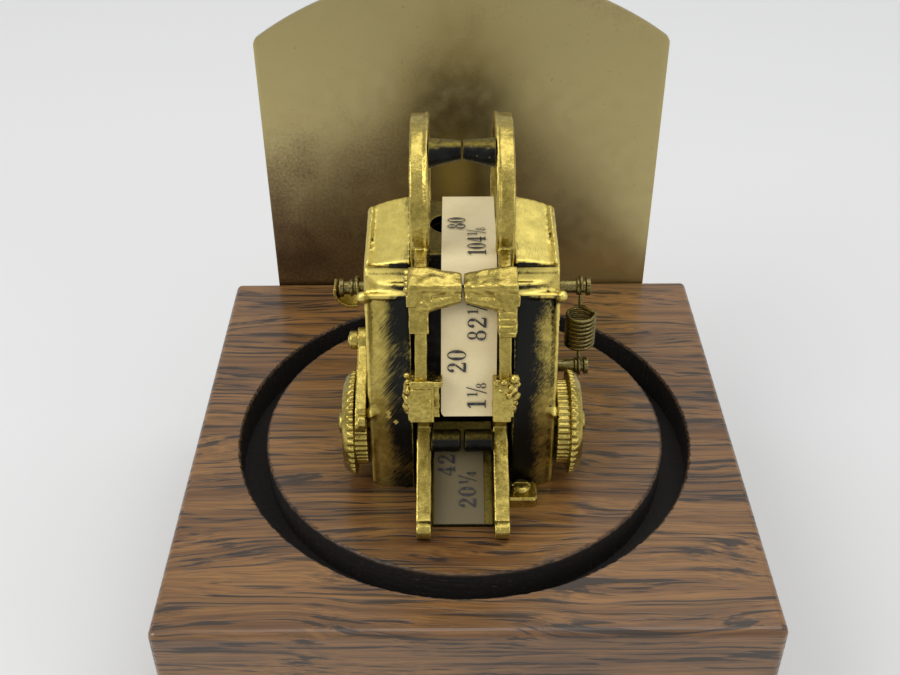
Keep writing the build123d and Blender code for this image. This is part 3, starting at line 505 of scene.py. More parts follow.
def oak(look):
    """Stained oak, grain along X: ring bands, dark pores, lacquer, and a rough groove, dark inside with
    painted shade deepening below its rim.
    """
    material, wire, shader, coords, vector = new_material("stained_oak")
    position = wire.axes(vector)
    wave = wire.noise(wire.mapping(vector, scale=(0.018, 0.07, 0.07)), 1.0, 2.0, 0.5)
    drift = wire.times(wire.less(wave, 0.5), 14.0)
    across = wire.plus(position["Y"], drift)
    deep = wire.plus(position["Z"], wire.times(drift, 0.6))
    warped = wire.add(
        "ShaderNodeCombineXYZ", {"X": position["X"], "Y": across, "Z": deep}).outputs[0]
    rings = wire.noise(wire.mapping(warped, scale=(0.008, 0.22, 0.22)), 1.0, 2.0, 0.5)
    bands = wire.noise(wire.mapping(warped, scale=(0.022, 0.75, 0.75)), 1.0, 3.0, 0.6)
    fibre = wire.noise(wire.mapping(warped, scale=(0.07, 4.0, 4.0)), 1.0, 4.0, 0.6)
    pores = wire.noise(wire.mapping(warped, scale=(0.042, 1.35, 1.35), shift=(3.0, 1.0, 7.0)), 1.0, 3.0, 0.55)
    pores = wire.step(pores, 0.50, 0.59)
    pores = wire.times(pores, wire.step(bands, 0.34, 0.52))
    tone = wire.step(wire.plus(wire.times(bands, 0.6), wire.times(rings, 0.4)), 0.38, 0.66)
    middle = (0.115, 0.050, 0.015, 1)
    base = wire.mix(tone, tuple(look.light), middle)
    base = wire.mix(wire.step(fibre, 0.40, 0.66, 0.0, 0.55), base, (0.060, 0.030, 0.014, 1))
    base = wire.mix(wire.times(pores, 0.9), base, tuple(look.dark))
    flat = wire.add("ShaderNodeCombineXYZ", {"X": position["X"], "Y": position["Y"], "Z": 0.0}).outputs[0]
    from_centre = wire.add("ShaderNodeVectorMath", {0: flat}, operation="LENGTH").outputs["Value"]
    ragged = wire.times(wire.less(wire.noise(
        wire.mapping(vector, scale=(0.5, 2.4, 2.4)), 1.0, 3.0, 0.7), 0.5), 1.1)
    radius = wire.plus(from_centre, ragged)
    middle_r = (look.groove_outer + look.groove_inner) / 2 / MM
    half = (look.groove_outer - look.groove_inner) / 2 / MM
    from_middle = wire.maths("ABSOLUTE", wire.less(radius, middle_r))
    # The groove's own dark finish, with painted shade that deepens below its rim.
    groove_band = wire.step(from_middle, half + 0.55, half + 0.05)
    in_groove = wire.step(position["Z"], FLOOR / MM - look.groove_depth / MM - 1.0, FLOOR / MM - 6.6)
    deeper_shade = wire.step(position["Z"], FLOOR / MM - 0.15, FLOOR / MM - 0.6)
    groove_dark_and_shade = wire.times(groove_band, wire.maths("MAXIMUM", deeper_shade, 0.72))
    groove_dark_and_shade = wire.times(groove_dark_and_shade, in_groove)
    # Near-black colour of the groove: its dark finish and painted shade.
    groove_dark_and_shade_colour = wire.mix(wire.noise(vector, 1.4, 4.0, 0.7), (0.002, 0.0015, 0.001, 1), (0.014, 0.009, 0.006, 1))
    base = wire.mix(groove_dark_and_shade, base, groove_dark_and_shade_colour)
    wire.put(base, shader.inputs["Base Color"])
    gloss = wire.step(pores, 0.0, 1.0, 0.30, 0.46, smooth=False)
    wire.put(wire.between(groove_dark_and_shade, gloss, 0.85), shader.inputs["Roughness"])
    lacquer = wire.times(wire.less(1.0, groove_dark_and_shade, clamp=True), 0.4)
    wire.put(lacquer, shader.inputs["Coat Weight"])
    shader.inputs["Coat Roughness"].default_value = 0.16
    height = wire.less(wire.times(fibre, 0.25), wire.times(pores, 0.7))
    height = wire.plus(height, wire.times(wire.times(wire.noise(vector, 2.2, 4.0, 0.7), groove_dark_and_shade), 2.5))
    bump(wire, shader, height, 0.12 * MM, 0.6)
    return material


# Painted shade: the tape darkens from the first height down to the second, low in the chute.
CHUTE_SHADE_STARTS_Z = FLOOR / MM + 10.5
CHUTE_SHADE_FULL_Z = FLOOR / MM + 7.5


def aged_paper(look):
    """Ticker tape paper: cream, fibrous and specked, with painted shade low down in the chute."""
    material, wire, shader, coords, vector = new_material("aged_paper")
    clouds = place(wire, "Clouds", Vector=vector, Size=6.0)
    fibres = wire.noise(wire.mapping(vector, scale=(1.6, 5.0, 5.0)), 1.0, 4.0, 0.7)
    warm = (0.55, 0.42, 0.21, 1)
    base = wire.mix(wire.times(clouds["Broad"], 0.35), tuple(look.paper), warm)
    base = wire.mix(wire.step(fibres, 0.35, 0.7, 0.0, 0.18), base, warm)
    specks = wire.step(wire.noise(vector, 5.0, 1.0, 0.8), 0.72, 0.78)
    base = wire.mix(wire.times(specks, 0.4), base, (0.25, 0.17, 0.09, 1))
    height = wire.axes(vector)["Z"]
    # Painted shade on the lower tape, under the overhang.
    chute_shade = wire.step(height, CHUTE_SHADE_STARTS_Z, CHUTE_SHADE_FULL_Z, 0.0, 0.93)
    base = wire.mix(chute_shade, base, (0.085, 0.062, 0.022, 1))
    wire.put(base, shader.inputs["Base Color"])
    wire.put(wire.step(fibres, 0.3, 0.7, 0.48, 0.62, smooth=False), shader.inputs["Roughness"])
    bump(wire, shader, fibres, 0.02 * MM, 0.5)
    return material


def print_ink(look):
    """Printed digits: black ink that thins to grey in places."""
    material, wire, shader, coords, vector = new_material("print_ink")
    thin = wire.step(wire.noise(vector, 2.2, 4.0, 0.7), 0.52, 0.72)
    wire.put(wire.mix(wire.times(thin, 0.5), tuple(look.ink), (0.30, 0.26, 0.20, 1)),
             shader.inputs["Base Color"])
    wire.put(wire.step(thin, 0.0, 1.0, 0.42, 0.6, smooth=False), shader.inputs["Roughness"])
    return material


def felt():
    """Dark green felt: matted fibres."""
    material, wire, shader, coords, vector = new_material("felt")
    mat = wire.noise(vector, 3.0, 5.0, 0.8)
    wire.put(wire.mix(mat, (0.010, 0.035, 0.020, 1), (0.030, 0.085, 0.050, 1)), shader.inputs["Base Color"])
    wire.put(wire.step(mat, 0.3, 0.7, 0.85, 1.0, smooth=False), shader.inputs["Roughness"])
    shader.inputs["Sheen Weight"].default_value = 0.6
    bump(wire, shader, mat, 0.2 * MM, 0.8)
    return material


# ---------------------------------------------------------------- mesh helpers
def cad_copy(*names):
    """The given nodes' surfaces, with their loose triangles merged."""
    bm = bmesh.new()
    for name in names:
        bm.from_mesh(NODES[name].data)
    bmesh.ops.remove_doubles(bm, verts=bm.verts, dist=MERGE)
    return bm


def join_into(bm, part):
    """Adds the part to bm and frees it."""
    carrier = bpy.data.meshes.new("part")
    part.to_mesh(carrier)
    part.free()
    bm.from_mesh(carrier)
    bpy.data.meshes.remove(carrier)


def to_object(bm, name):
    """The bmesh as a linked object at the origin."""
    mesh = bpy.data.meshes.new(name)
    bm.to_mesh(mesh)
    bm.free()
    obj = bpy.data.objects.new(name, mesh)
    bpy.context.scene.collection.objects.link(obj)
    return obj


def apply_modifiers(obj):
    """Turns the object's modifiers into its own mesh."""
    graph = bpy.context.evaluated_depsgraph_get()
    mesh = bpy.data.meshes.new_from_object(obj.evaluated_get(graph))
    obj.modifiers.clear()
    old = obj.data
    obj.data = mesh
    bpy.data.meshes.remove(old)


def cast_in_one(bm, name, voxel, rounds=2, lumps=0.0, lump_size=1.5):
    """Fuses overlapping shells into one skin, rounds its edges and leaves it slightly uneven."""
    obj = to_object(bm, name)
    fuse = obj.modifiers.new("fuse", "REMESH")
    fuse.mode = "VOXEL"
    fuse.voxel_size = voxel * MM
    fuse.use_smooth_shade = True
    soften = obj.modifiers.new("soften", "SMOOTH")
    soften.factor = 0.5
    soften.iterations = rounds
    apply_modifiers(obj)
    if lumps:
        normals = [vertex.normal.copy() for vertex in obj.data.vertices]
        for vertex, normal in zip(obj.data.vertices, normals):
            swell = noise.noise(vertex.co / (lump_size * MM))
            vertex.co += normal * (swell * lumps * MM)
    obj.data.shade_smooth()
    return obj


def finish_piece(obj, material, slot, body, *nodes):
    """Gives the piece its material and body, and the nodes whose place it takes; the slot is not used."""
    obj.data.materials.clear()
    obj.data.materials.append(bpy.data.materials[material])
    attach(obj, body)
    if nodes:
        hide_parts(*nodes)


def body_of(node):
    """The moving body that a node belongs to."""
    return NODES[node]["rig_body"]


def ball(bm, centre, radius, scale=(1, 1, 1)):
    """A round lump at centre, in millimetres."""
    place_at = Matrix.Translation(Vector(centre) * MM) @ Matrix.Diagonal(
        Vector((*scale, 1))) @ Matrix.Scale(radius * MM, 4)
    bmesh.ops.create_icosphere(bm, subdivisions=3, radius=1.0, matrix=place_at)


def block(bm, centre, size, turn=0.0):
    """A box at centre, in millimetres, turned about X."""
    place_at = Matrix.Translation(Vector(centre) * MM) @ Matrix.Rotation(turn, 4, "X") @ Matrix.Diagonal(
        (size[0] * MM, size[1] * MM, size[2] * MM, 1))
    bmesh.ops.create_cube(bm, size=1.0, matrix=place_at)


def rod(bm, start, end, radius, end_radius=None, segments=24):
    """A round bar between two points, in millimetres."""
    a, b = Vector(start) * MM, Vector(end) * MM
    along = b - a
    place_at = Matrix.Translation((a + b) / 2) @ along.to_track_quat("Z", "Y").to_matrix().to_4x4()
    bmesh.ops.create_cone(
        bm, cap_ends=True, segments=segments, radius1=radius * MM,
        radius2=(radius if end_radius is None else end_radius) * MM, depth=along.length, matrix=place_at)


# ---------------------------------------------------------------- oak block and sheet brass
RIM_SEGMENTS = 720
RIM_CRUMBLE = 0.28 * MM
BLOCK_ROUND = 1.1 * MM


def edges_of(verts):
    """Every edge that touches the given vertices."""
    return list({edge for vertex in verts for edge in vertex.link_edges})


def circle(bm, radius, height, ragged=0.0, drop=0.0):
    """A loop of edges round Z; ragged shifts its points in and out, drop lowers some of them."""
    made = bmesh.ops.create_circle(bm, cap_ends=False, segments=RIM_SEGMENTS, radius=radius,
                                   matrix=Matrix.Translation((0, 0, height)))
    for vertex in made["verts"]:
        outward = Vector((vertex.co.x, vertex.co.y, 0)).normalized()
        across_grain = 0.35 + 0.65 * abs(outward.x)
        spot = Vector((vertex.co.x / (1.6 * MM), vertex.co.y / (0.5 * MM), height * 900 + radius * 400))
        vertex.co += outward * (noise.noise(spot) * ragged * across_grain)
        vertex.co.z -= (0.5 + 0.5 * noise.noise(spot * 1.7)) * drop
    return edges_of(made["verts"])


class TICKER_OT_oak_block(bpy.types.Operator):
    """Cuts the oak block, its eased edges and the rough round groove"""
    bl_idname = "ticker.oak_block"
    bl_label = "Oak Block"

    def execute(self, context):
        look = context.scene.oak_look
        bm = bmesh.new()
        size, centre = BASE_HIGH - BASE_LOW, (BASE_HIGH + BASE_LOW) / 2
        bmesh.ops.create_cube(bm, size=1.0, matrix=Matrix.Translation(centre) @ Matrix.Diagonal((*size, 1)))
        bmesh.ops.bevel(bm, geom=list(bm.edges), offset=BLOCK_ROUND, segments=4, profile=0.5,
                        affect="EDGES", material=-1)
        top = max(bm.faces, key=lambda face: face.calc_center_median().z)
        rim = list(top.edges)
        bmesh.ops.delete(bm, geom=[top], context="FACES_ONLY")
        bottom = FLOOR - look.groove_depth
        rings = (
            (look.groove_outer + RIM_CRUMBLE, FLOOR, look.tear_out * 1.6, 0.0),
            (look.groove_outer, FLOOR - 0.12 * MM, look.tear_out, 0.5 * MM),
            (look.groove_outer, bottom, 0.1 * MM, 0.0),
            (look.groove_inner, bottom, 0.1 * MM, 0.0),
            (look.groove_inner, FLOOR - 0.10 * MM, look.tear_out * 0.6, 0.3 * MM),
            (look.groove_inner - RIM_CRUMBLE, FLOOR, look.tear_out * 0.8, 0.0),
        )
        loops = [circle(bm, *ring) for ring in rings]
        bmesh.ops.triangle_fill(bm, edges=rim + loops[0], use_beauty=False, normal=(0, 0, 1))
        for near, far in zip(loops, loops[1:]):
            bmesh.ops.bridge_loops(bm, edges=near + far)
        bmesh.ops.contextual_create(bm, geom=loops[-1])
        bmesh.ops.recalc_face_normals(bm, faces=bm.faces)
        piece = to_object(bm, "oak_block")
        finish_piece(piece, "stained_oak", "oak", "bookend", "oak_base")
        return {"FINISHED"}


PLATE_CORNER = 0.9 * MM
PLATE_EASE = 0.14 * MM
PLATE_STEPS = 48


class TICKER_OT_back_plate(bpy.types.Operator):
    """Shears the arched back plate from sheet and eases its edges"""
    bl_idname = "ticker.back_plate"
    bl_label = "Back Plate"

    def execute(self, context):
        half = (PLATE_HIGH.x - PLATE_LOW.x) / 2
        rise = context.scene.sheet_look.arch_rise
        radius = (half * half + rise * rise) / (2 * rise)
        sweep = math.asin(half / radius)
        bm = bmesh.new()
        outline = [bm.verts.new((side * half, PLATE_LOW.y, PLATE_LOW.z)) for side in (-1, 1)]
        for step in range(PLATE_STEPS + 1):
            angle = sweep * (1 - 2 * step / PLATE_STEPS)
            outline.append(bm.verts.new((radius * math.sin(angle), PLATE_LOW.y,
                                         PLATE_HIGH.z - radius * (1 - math.cos(angle)))))
        face = bm.faces.new(outline)
        corners = [outline[0], outline[1], outline[2], outline[-1]]
        bmesh.ops.bevel(bm, geom=corners, offset=PLATE_CORNER, segments=6, profile=0.5, affect="VERTICES",
                        material=-1)
        bm.faces.ensure_lookup_table()
        face = bm.faces[0]
        made = bmesh.ops.extrude_face_region(bm, geom=[face])
        moved = [item for item in made["geom"] if isinstance(item, bmesh.types.BMVert)]
        bmesh.ops.translate(bm, verts=moved, vec=(0, PLATE_HIGH.y - PLATE_LOW.y, 0))
        bmesh.ops.recalc_face_normals(bm, faces=bm.faces)
        rims = [edge for edge in bm.edges if abs(edge.verts[0].co.y - edge.verts[1].co.y) < MERGE]
        bmesh.ops.bevel(bm, geom=rims, offset=PLATE_EASE, segments=2, profile=0.5, affect="EDGES",
                        material=-1)
        piece = to_object(bm, "arched_plate")
        piece.data.shade_smooth()
        piece.data.set_sharp_from_angle(angle=math.radians(40))
        finish_piece(piece, "sheet_brass", "sheet_brass", "bookend", "back_plate")
        return {"FINISHED"}


PLAQUE_MARGIN = 0.10 * MM
PLAQUE_BORDER = 1.3 * MM
PLAQUE_SLOPE = 0.15 * MM
PLAQUE_SINK = 0.16 * MM


class TICKER_OT_side_plaque(bpy.types.Operator):
    """Stamps the blank side plaque with a raised border"""
    bl_idname = "ticker.side_plaque"
    bl_label = "Side Plaque"

    def execute(self, context):
        bm = cad_copy("side_plaque")
        bmesh.ops.dissolve_limit(bm, angle_limit=math.radians(1), verts=bm.verts, edges=bm.edges)
        front = [face for face in bm.faces if face.normal.x < -0.99 and face.calc_area() > 1e-4]
        bmesh.ops.inset_region(bm, faces=front, thickness=PLAQUE_MARGIN, depth=0.0)
        bmesh.ops.inset_region(bm, faces=front, thickness=PLAQUE_BORDER, depth=0.0)
        bmesh.ops.inset_region(bm, faces=front, thickness=PLAQUE_SLOPE, depth=-PLAQUE_SINK)
        bmesh.ops.recalc_face_normals(bm, faces=bm.faces)
        piece = to_object(bm, "blank_plaque")
        finish_piece(piece, "sheet_brass", "sheet_brass", "bookend", "side_plaque")
        return {"FINISHED"}


# ---------------------------------------------------------------- ticker castings
def at(side, x, y, z):
    """A point of the ticker in millimetres: x outwards on the side given, z above the oak."""
    return (TICKER_X / MM + side * x, y, FLOOR / MM + z)


def bead(bm, side, x, points, radius):
    """A round bead that follows points, as (y, z), at x out from the middle of the ticker."""
    spots = [at(side, x, y, z) for y, z in points]
    for start, end in zip(spots, spots[1:]):
        rod(bm, start, end, radius, segments=12)
    for spot in spots:
        ball(bm, spot, radius)


HOUSING_FRONT = ((-14.2, 1.0), (-14.3, 9.0), (-13.9, 16.0), (-13.0, 22.5), (-11.7, 29.0), (-10.5, 33.8))


class TICKER_OT_housings(bpy.types.Operator):
    """Casts the two side housings with their beads, screws and corner bosses"""
    bl_idname = "ticker.housings"
    bl_label = "Housings"

    def execute(self, context):
        for name, side in SIDES:
            bm = cad_copy(name + "_housing")
            bead(bm, side, 13.95, HOUSING_FRONT, 0.34)
            ball(bm, at(side, 14.5, -10.7, 34.0), 0.85)
            ball(bm, at(side, 14.4, -9.6, 33.0), 0.55)
            ball(bm, at(side, 13.7, -8.2, 38.2), 0.4)
            ball(bm, at(side, 13.4, 4.3, 39.8), 0.6, (1, 1.3, 0.7))
            ball(bm, at(side, 13.9, -14.0, 14.9), 0.95, (1, 0.8, 1))
            ball(bm, at(side, 14.0, -14.7, 15.0), 0.5)
            bead(bm, side, 13.6, ((-8.0, 38.6), (4.6, 40.25)), 0.24)
            piece = cast_in_one(bm, name + "_cast_housing", 0.27, rounds=2, lumps=0.06, lump_size=2.6)
            finish_piece(piece, "brushed_brass", "brushed_brass", "bookend", name + "_housing")
            disc = cad_copy(name + "_cover_disc")
            piece = cast_in_one(disc, name + "_cast_disc", 0.16, rounds=2, lumps=0.03)
            finish_piece(piece, "brushed_brass", "brushed_brass", "bookend", name + "_cover_disc")
        return {"FINISHED"}


HOOP_CENTRE = (1.0, 44.0)
HOOP_RADIUS = 12.2


def ring_bead(bm, side, x, centre, radius, thickness):
    """A torus round X: a small disc spun through a full turn."""
    axis_point = Vector(at(side, x, *centre)) * MM
    start = axis_point + Vector((0, 0, radius * MM))
    disc = bmesh.ops.create_circle(
        bm, cap_ends=False, segments=10, radius=thickness * MM,
        matrix=Matrix.Translation(start))
    edges = edges_of(disc["verts"])
    bmesh.ops.rotate(bm, verts=disc["verts"], cent=start, matrix=Matrix.Rotation(math.pi / 2, 3, "X"))
    bmesh.ops.spin(bm, geom=disc["verts"] + edges, cent=axis_point, axis=(1, 0, 0),
                   angle=math.tau, steps=96, use_merge=True)


class TICKER_OT_side_frames(bpy.types.Operator):
    """Casts the two side frames, with a lip round each hoop"""
    bl_idname = "ticker.side_frames"
    bl_label = "Side Frames"

    def execute(self, context):
        for name, side in SIDES:
            bm = cad_copy(name + "_side_frame")
            ring_bead(bm, side, 5.0, HOOP_CENTRE, HOOP_RADIUS - 0.05, 0.32)
            ring_bead(bm, side, 7.1, HOOP_CENTRE, HOOP_RADIUS - 0.25, 0.28)
            bmesh.ops.recalc_face_normals(bm, faces=bm.faces)
            piece = cast_in_one(bm, name + "_cast_frame", 0.16, rounds=3, lumps=0.10, lump_size=1.8)
            finish_piece(piece, "cast_brass", "cast_brass", "bookend", name + "_side_frame")
        return {"FINISHED"}


POST_LEAN = math.radians(-26.9)
BRACKET_LEAN = math.radians(-14)


class TICKER_OT_crossbars(bpy.types.Operator):
    """Casts the two halves of the crossbar, each with the short post under its outer end"""
    bl_idname = "ticker.crossbars"
    bl_label = "Crossbars"

    def execute(self, context):
        for name, side in SIDES:
            bm = cad_copy(name + "_crossbar")
            block(bm, at(side, 6.1, -19.2, 36.9), (2.7, 2.3, 5.2), POST_LEAN)
            block(bm, at(side, 6.1, -18.3, 38.6), (3.4, 3.0, 1.6), POST_LEAN)
            if name == "left":
                for step in range(4):
                    ball(bm, at(side, 7.75, -15.2 - 1.0 * step, 41.2 - 0.28 * step), 0.52)
            else:
                for step in range(5):
                    along = step * 0.95
                    rod(bm, at(side, 4.9, -19.6 - 0.45 * along, 38.2 - 0.89 * along),
                        at(side, 7.3, -19.6 - 0.45 * along, 38.2 - 0.89 * along), 0.42)
            rod(bm, at(side, 0.25, -18.2, 38.95), at(side, 5.6, -18.9, 38.3), 0.75, 1.3)
            ball(bm, at(side, 5.4, -18.7, 38.4), 1.35, (1.7, 1, 1))
            piece = cast_in_one(bm, name + "_cast_crossbar", 0.12, rounds=6, lumps=0.11, lump_size=1.1)
            finish_piece(piece, "cast_brass", "cast_brass", "bookend", name + "_crossbar")
        return {"FINISHED"}


# each boss: out from the middle of the ticker, y, height above the oak, radius
RIGHT_BOSSES = (
    (7.1, -24.2, 29.3, 0.75), (7.3, -24.1, 26.4, 0.7), (6.7, -24.4, 24.1, 0.5), (5.6, -24.7, 23.7, 0.42),
    (5.6, -24.6, 29.1, 0.55), (6.3, -25.0, 27.2, 0.42), (5.0, -24.7, 26.0, 0.42), (6.2, -24.8, 25.1, 0.46),
    (7.5, -23.4, 27.8, 0.5), (4.8, -24.4, 24.5, 0.4), (7.3, -23.5, 24.6, 0.42), (5.2, -24.5, 27.6, 0.4),
    (6.6, -24.7, 28.3, 0.42), (4.7, -24.3, 28.6, 0.35), (7.0, -24.4, 25.3, 0.4), (5.7, -24.9, 25.6, 0.34),
)
LEFT_BOSSES = (
    (7.7, -24.0, 27.8, 0.6), (7.9, -23.6, 26.2, 0.7), (7.8, -23.6, 24.2, 0.75), (7.3, -24.6, 23.2, 0.5),
    (7.8, -22.6, 28.9, 0.5),
)


class TICKER_OT_brackets(bpy.types.Operator):
    """Casts the two brackets at the end of the tape: plain on the left, clustered bosses on the right"""
    bl_idname = "ticker.brackets"
    bl_label = "Brackets"

    def execute(self, context):
        for name, side, bosses in (("left", -1, LEFT_BOSSES), ("right", 1, RIGHT_BOSSES)):
            bm = cad_copy(name + "_bracket_bosses")
            for x, y, z, radius in bosses:
                ball(bm, at(side, x, y, z), radius)
            if name == "left":
                block(bm, at(side, 5.1, -23.6, 28.6), (4.4, 2.4, 0.8), BRACKET_LEAN)
                block(bm, at(side, 6.1, -24.7, 25.5), (3.2, 1.4, 4.8), BRACKET_LEAN)
                block(bm, at(side, 4.0, -23.4, 25.4), (1.2, 1.0, 5.4), BRACKET_LEAN)
            else:
                nub = at(side, 6.4, -25.1, 26.9)
                bmesh.ops.create_icosphere(bm, subdivisions=2, radius=0.35 * MM,
                                           matrix=Matrix.Translation(Vector(nub) * MM))
                block(bm, at(side, 5.7, -24.3, 26.3), (2.6, 1.4, 5.6), BRACKET_LEAN)
            piece = cast_in_one(bm, name + "_cast_bracket", 0.10, rounds=4, lumps=0.13, lump_size=0.55)
            finish_piece(piece, "cast_brass", "cast_brass", "bookend", name + "_bracket_bosses")
        return {"FINISHED"}


SMALL_PARTS = (
    # node, finish, voxel in mm, rounds of smoothing, lumps in mm
    ("left_fluted_wheel", "cast_brass", 0.14, 2, 0.04), ("right_fluted_wheel", "cast_brass", 0.14, 2, 0.04),
    ("left_wheel_axle", "cast_brass", 0.10, 2, 0.02), ("right_wheel_axle", "cast_brass", 0.10, 2, 0.02),
    ("detent_lever", "cast_brass", 0.10, 2, 0.08), ("detent_knob", "cast_brass", 0.08, 2, 0.02),
    ("detent_stud", "cast_brass", 0.08, 2, 0.0), ("right_front_lug", "cast_brass", 0.10, 2, 0.05),
    ("left_rear_lug", "cast_brass", 0.10, 2, 0.05), ("mounting_bolts", "cast_brass", 0.07, 1, 0.02),
    ("left_rear_leg", "cast_brass", 0.12, 2, 0.06), ("right_rear_leg", "cast_brass", 0.12, 2, 0.06),
    ("rear_bar", "cast_brass", 0.14, 2, 0.08), ("rear_bar_screw", "cast_brass", 0.08, 1, 0.0),
    ("hook_strap", "cast_brass", 0.09, 1, 0.02), ("spring_lever", "blackened_brass", 0.10, 2, 0.05),
    ("lever_screw", "cast_brass", 0.08, 1, 0.0), ("left_top_peg", "blackened_brass", 0.09, 3, 0.05),
    ("right_top_peg", "blackened_brass", 0.09, 3, 0.05), ("left_low_peg", "blackened_brass", 0.09, 3, 0.04),
    ("right_low_peg", "blackened_brass", 0.09, 3, 0.04), ("core_block", "blackened_brass", 0.28, 2, 0.06),
    ("tape_table", "blackened_brass", 0.14, 2, 0.04), ("tape_chute", "blackened_brass", 0.12, 2, 0.05),
    ("left_upper_post", "spring_wire", 0.08, 1, 0.0), ("right_upper_post", "spring_wire", 0.08, 1, 0.0),
    ("right_lower_post", "spring_wire", 0.08, 1, 0.0), ("tension_spring", "spring_wire", 0.07, 2, 0.0),
    ("wire_ring", "spring_wire", 0.06, 2, 0.0), ("back_plate_screws", "screw_brass", 0.08, 1, 0.0),
    ("plaque_pins", "screw_brass", 0.08, 1, 0.0),
)


class TICKER_OT_small_parts(bpy.types.Operator):
    """Softens the wheels, levers, posts, pegs and fasteners, as casting and tumbling leave them"""
    bl_idname = "ticker.small_parts"
    bl_label = "Small Parts"

    def execute(self, context):
        for node, finish, voxel, rounds, lumps in SMALL_PARTS:
            piece = cast_in_one(cad_copy(node), node + "_finished", voxel, rounds, lumps, 1.2)
            finish_piece(piece, finish, finish, body_of(node), node)
        return {"FINISHED"}


# ---------------------------------------------------------------- paper tape and its print
GLYPH_STEPS = 40
SERIF = 0.055


def arc_band(bm, centre, radii, thick, thin, start=0.0, end=360.0):
    """A curved pen stroke in a unit-high glyph: thick at its sides, thin at its top and bottom."""
    made = bmesh.ops.create_grid(bm, x_segments=GLYPH_STEPS, y_segments=1, size=0.5)
    for vertex in made["verts"]:
        angle = math.radians(start + (end - start) * (vertex.co.x + 0.5))
        outward = Vector((math.cos(angle), math.sin(angle)))
        width = thin + (thick - thin) * outward.x ** 2
        reach = 1.0 if vertex.co.y > 0 else 0.0
        vertex.co = Vector((centre[0] + outward.x * (radii[0] - width * reach),
                            centre[1] + outward.y * (radii[1] - width * reach), 0))


def pen_bar(bm, start, end, width):
    """A straight pen stroke in a unit-high glyph."""
    a, b = Vector((*start, 0)), Vector((*end, 0))
    along = b - a
    turn = Matrix.Rotation(math.atan2(along.y, along.x), 4, "Z")
    place_at = Matrix.Translation((a + b) / 2) @ turn @ Matrix.Diagonal((along.length, width, 1, 1))
    bmesh.ops.create_grid(bm, x_segments=6, y_segments=1, size=0.5, matrix=place_at)


def pen_ball(bm, centre, radius):
    bmesh.ops.create_circle(bm, cap_ends=True, segments=16, radius=radius,
                            matrix=Matrix.Translation((*centre, 0)))


def draw_zero(bm):
    arc_band(bm, (0.28, 0.5), (0.28, 0.5), 0.17, 0.05)


def draw_one(bm):
    pen_bar(bm, (0.28, 0.0), (0.28, 0.98), 0.16)
    pen_bar(bm, (0.06, SERIF / 2), (0.50, SERIF / 2), SERIF)
    pen_bar(bm, (0.07, 0.80), (0.24, 0.96), 0.07)


def draw_two(bm):
    arc_band(bm, (0.28, 0.71), (0.25, 0.28), 0.16, 0.05, 165, -35)
    pen_bar(bm, (0.44, 0.56), (0.08, 0.10), 0.09)
    pen_bar(bm, (0.04, 0.07), (0.54, 0.07), 0.14)
    pen_bar(bm, (0.53, 0.05), (0.53, 0.26), 0.05)
    pen_ball(bm, (0.12, 0.72), 0.09)


def draw_four(bm):
    pen_bar(bm, (0.38, 0.98), (0.02, 0.28), 0.055)
    pen_bar(bm, (0.00, 0.26), (0.56, 0.26), 0.06)
    pen_bar(bm, (0.38, 0.0), (0.38, 0.98), 0.15)
    pen_bar(bm, (0.20, SERIF / 2), (0.56, SERIF / 2), SERIF)


def draw_eight(bm):
    arc_band(bm, (0.28, 0.75), (0.21, 0.25), 0.12, 0.045)
    arc_band(bm, (0.28, 0.27), (0.27, 0.27), 0.15, 0.05)


def draw_slash(bm):
    pen_bar(bm, (0.02, -0.05), (0.34, 1.03), 0.06)


GLYPHS = {"0": (draw_zero, 0.66), "1": (draw_one, 0.62), "2": (draw_two, 0.68), "4": (draw_four, 0.68),
          "8": (draw_eight, 0.66), "/": (draw_slash, 0.36)}


def draw_text(bm, text, size):
    """The characters in a row from the origin, along +X, size high."""
    pen = 0.0
    for character in text:
        draw, advance = GLYPHS[character]
        glyph = bmesh.new()
        draw(glyph)
        bmesh.ops.transform(glyph, verts=glyph.verts, matrix=Matrix.Translation((pen, 0, 0))
                            @ Matrix.Scale(size, 4))
        join_into(bm, glyph)
        pen += advance * size


def draw_fraction(bm, top, bottom, size):
    """A small fraction beside a number: raised numerator, slash and low denominator."""
    parts = ((top, 0.55, (0.0, 0.45)), ("/", 1.0, (0.20, 0.0)), (bottom, 0.55, (0.48, -0.02)))
    for text, share, (x, y) in parts:
        part = bmesh.new()
        draw_text(part, text, size * share)
        bmesh.ops.translate(part, verts=part.verts, vec=(x * size, y * size, 0))
        join_into(bm, part)


def rounded_path(points, radii, step):
    """Points, as (y, z) in millimetres, along straight runs joined by arcs of the given radii."""
    corners = [Vector(point) for point in points]
    made = [corners[0]]
    for before, corner, after, radius in zip(corners, corners[1:], corners[2:], radii):
        into, out = (corner - before).normalized(), (after - corner).normalized()
        turn = into.angle_signed(out)
        setback = radius * math.tan(abs(turn) / 2)
        start = corner - into * setback
        side = Vector((-into.y, into.x)) * (-1 if turn > 0 else 1)
        centre = start + side * radius
        steps = max(2, int(abs(turn) * radius / step))
        for index in range(steps + 1):
            spoke = start - centre
            spoke.rotate(Matrix.Rotation(-turn * index / steps, 2))
            made.append(centre + spoke)
    made.append(corners[-1])
    fine = []
    for start, end in zip(made, made[1:]):
        count = max(1, int((end - start).length / step))
        fine += [start.lerp(end, index / count) for index in range(count)]
    return fine + [made[-1]]


UPPER_PATH = ((6.4, 36.6), (6.4, 41.6), (-12.2, 41.6), (-18.0, 36.4), (-21.6, 28.6), (-24.0, 22.6))
UPPER_RADII = (1.6, 3.0, 9.0, 14.0)
LOWER_PATH = ((-12.2, 7.95), (-18.0, 4.3), (-23.8, 0.85))
LOWER_RADII = (60.0,)


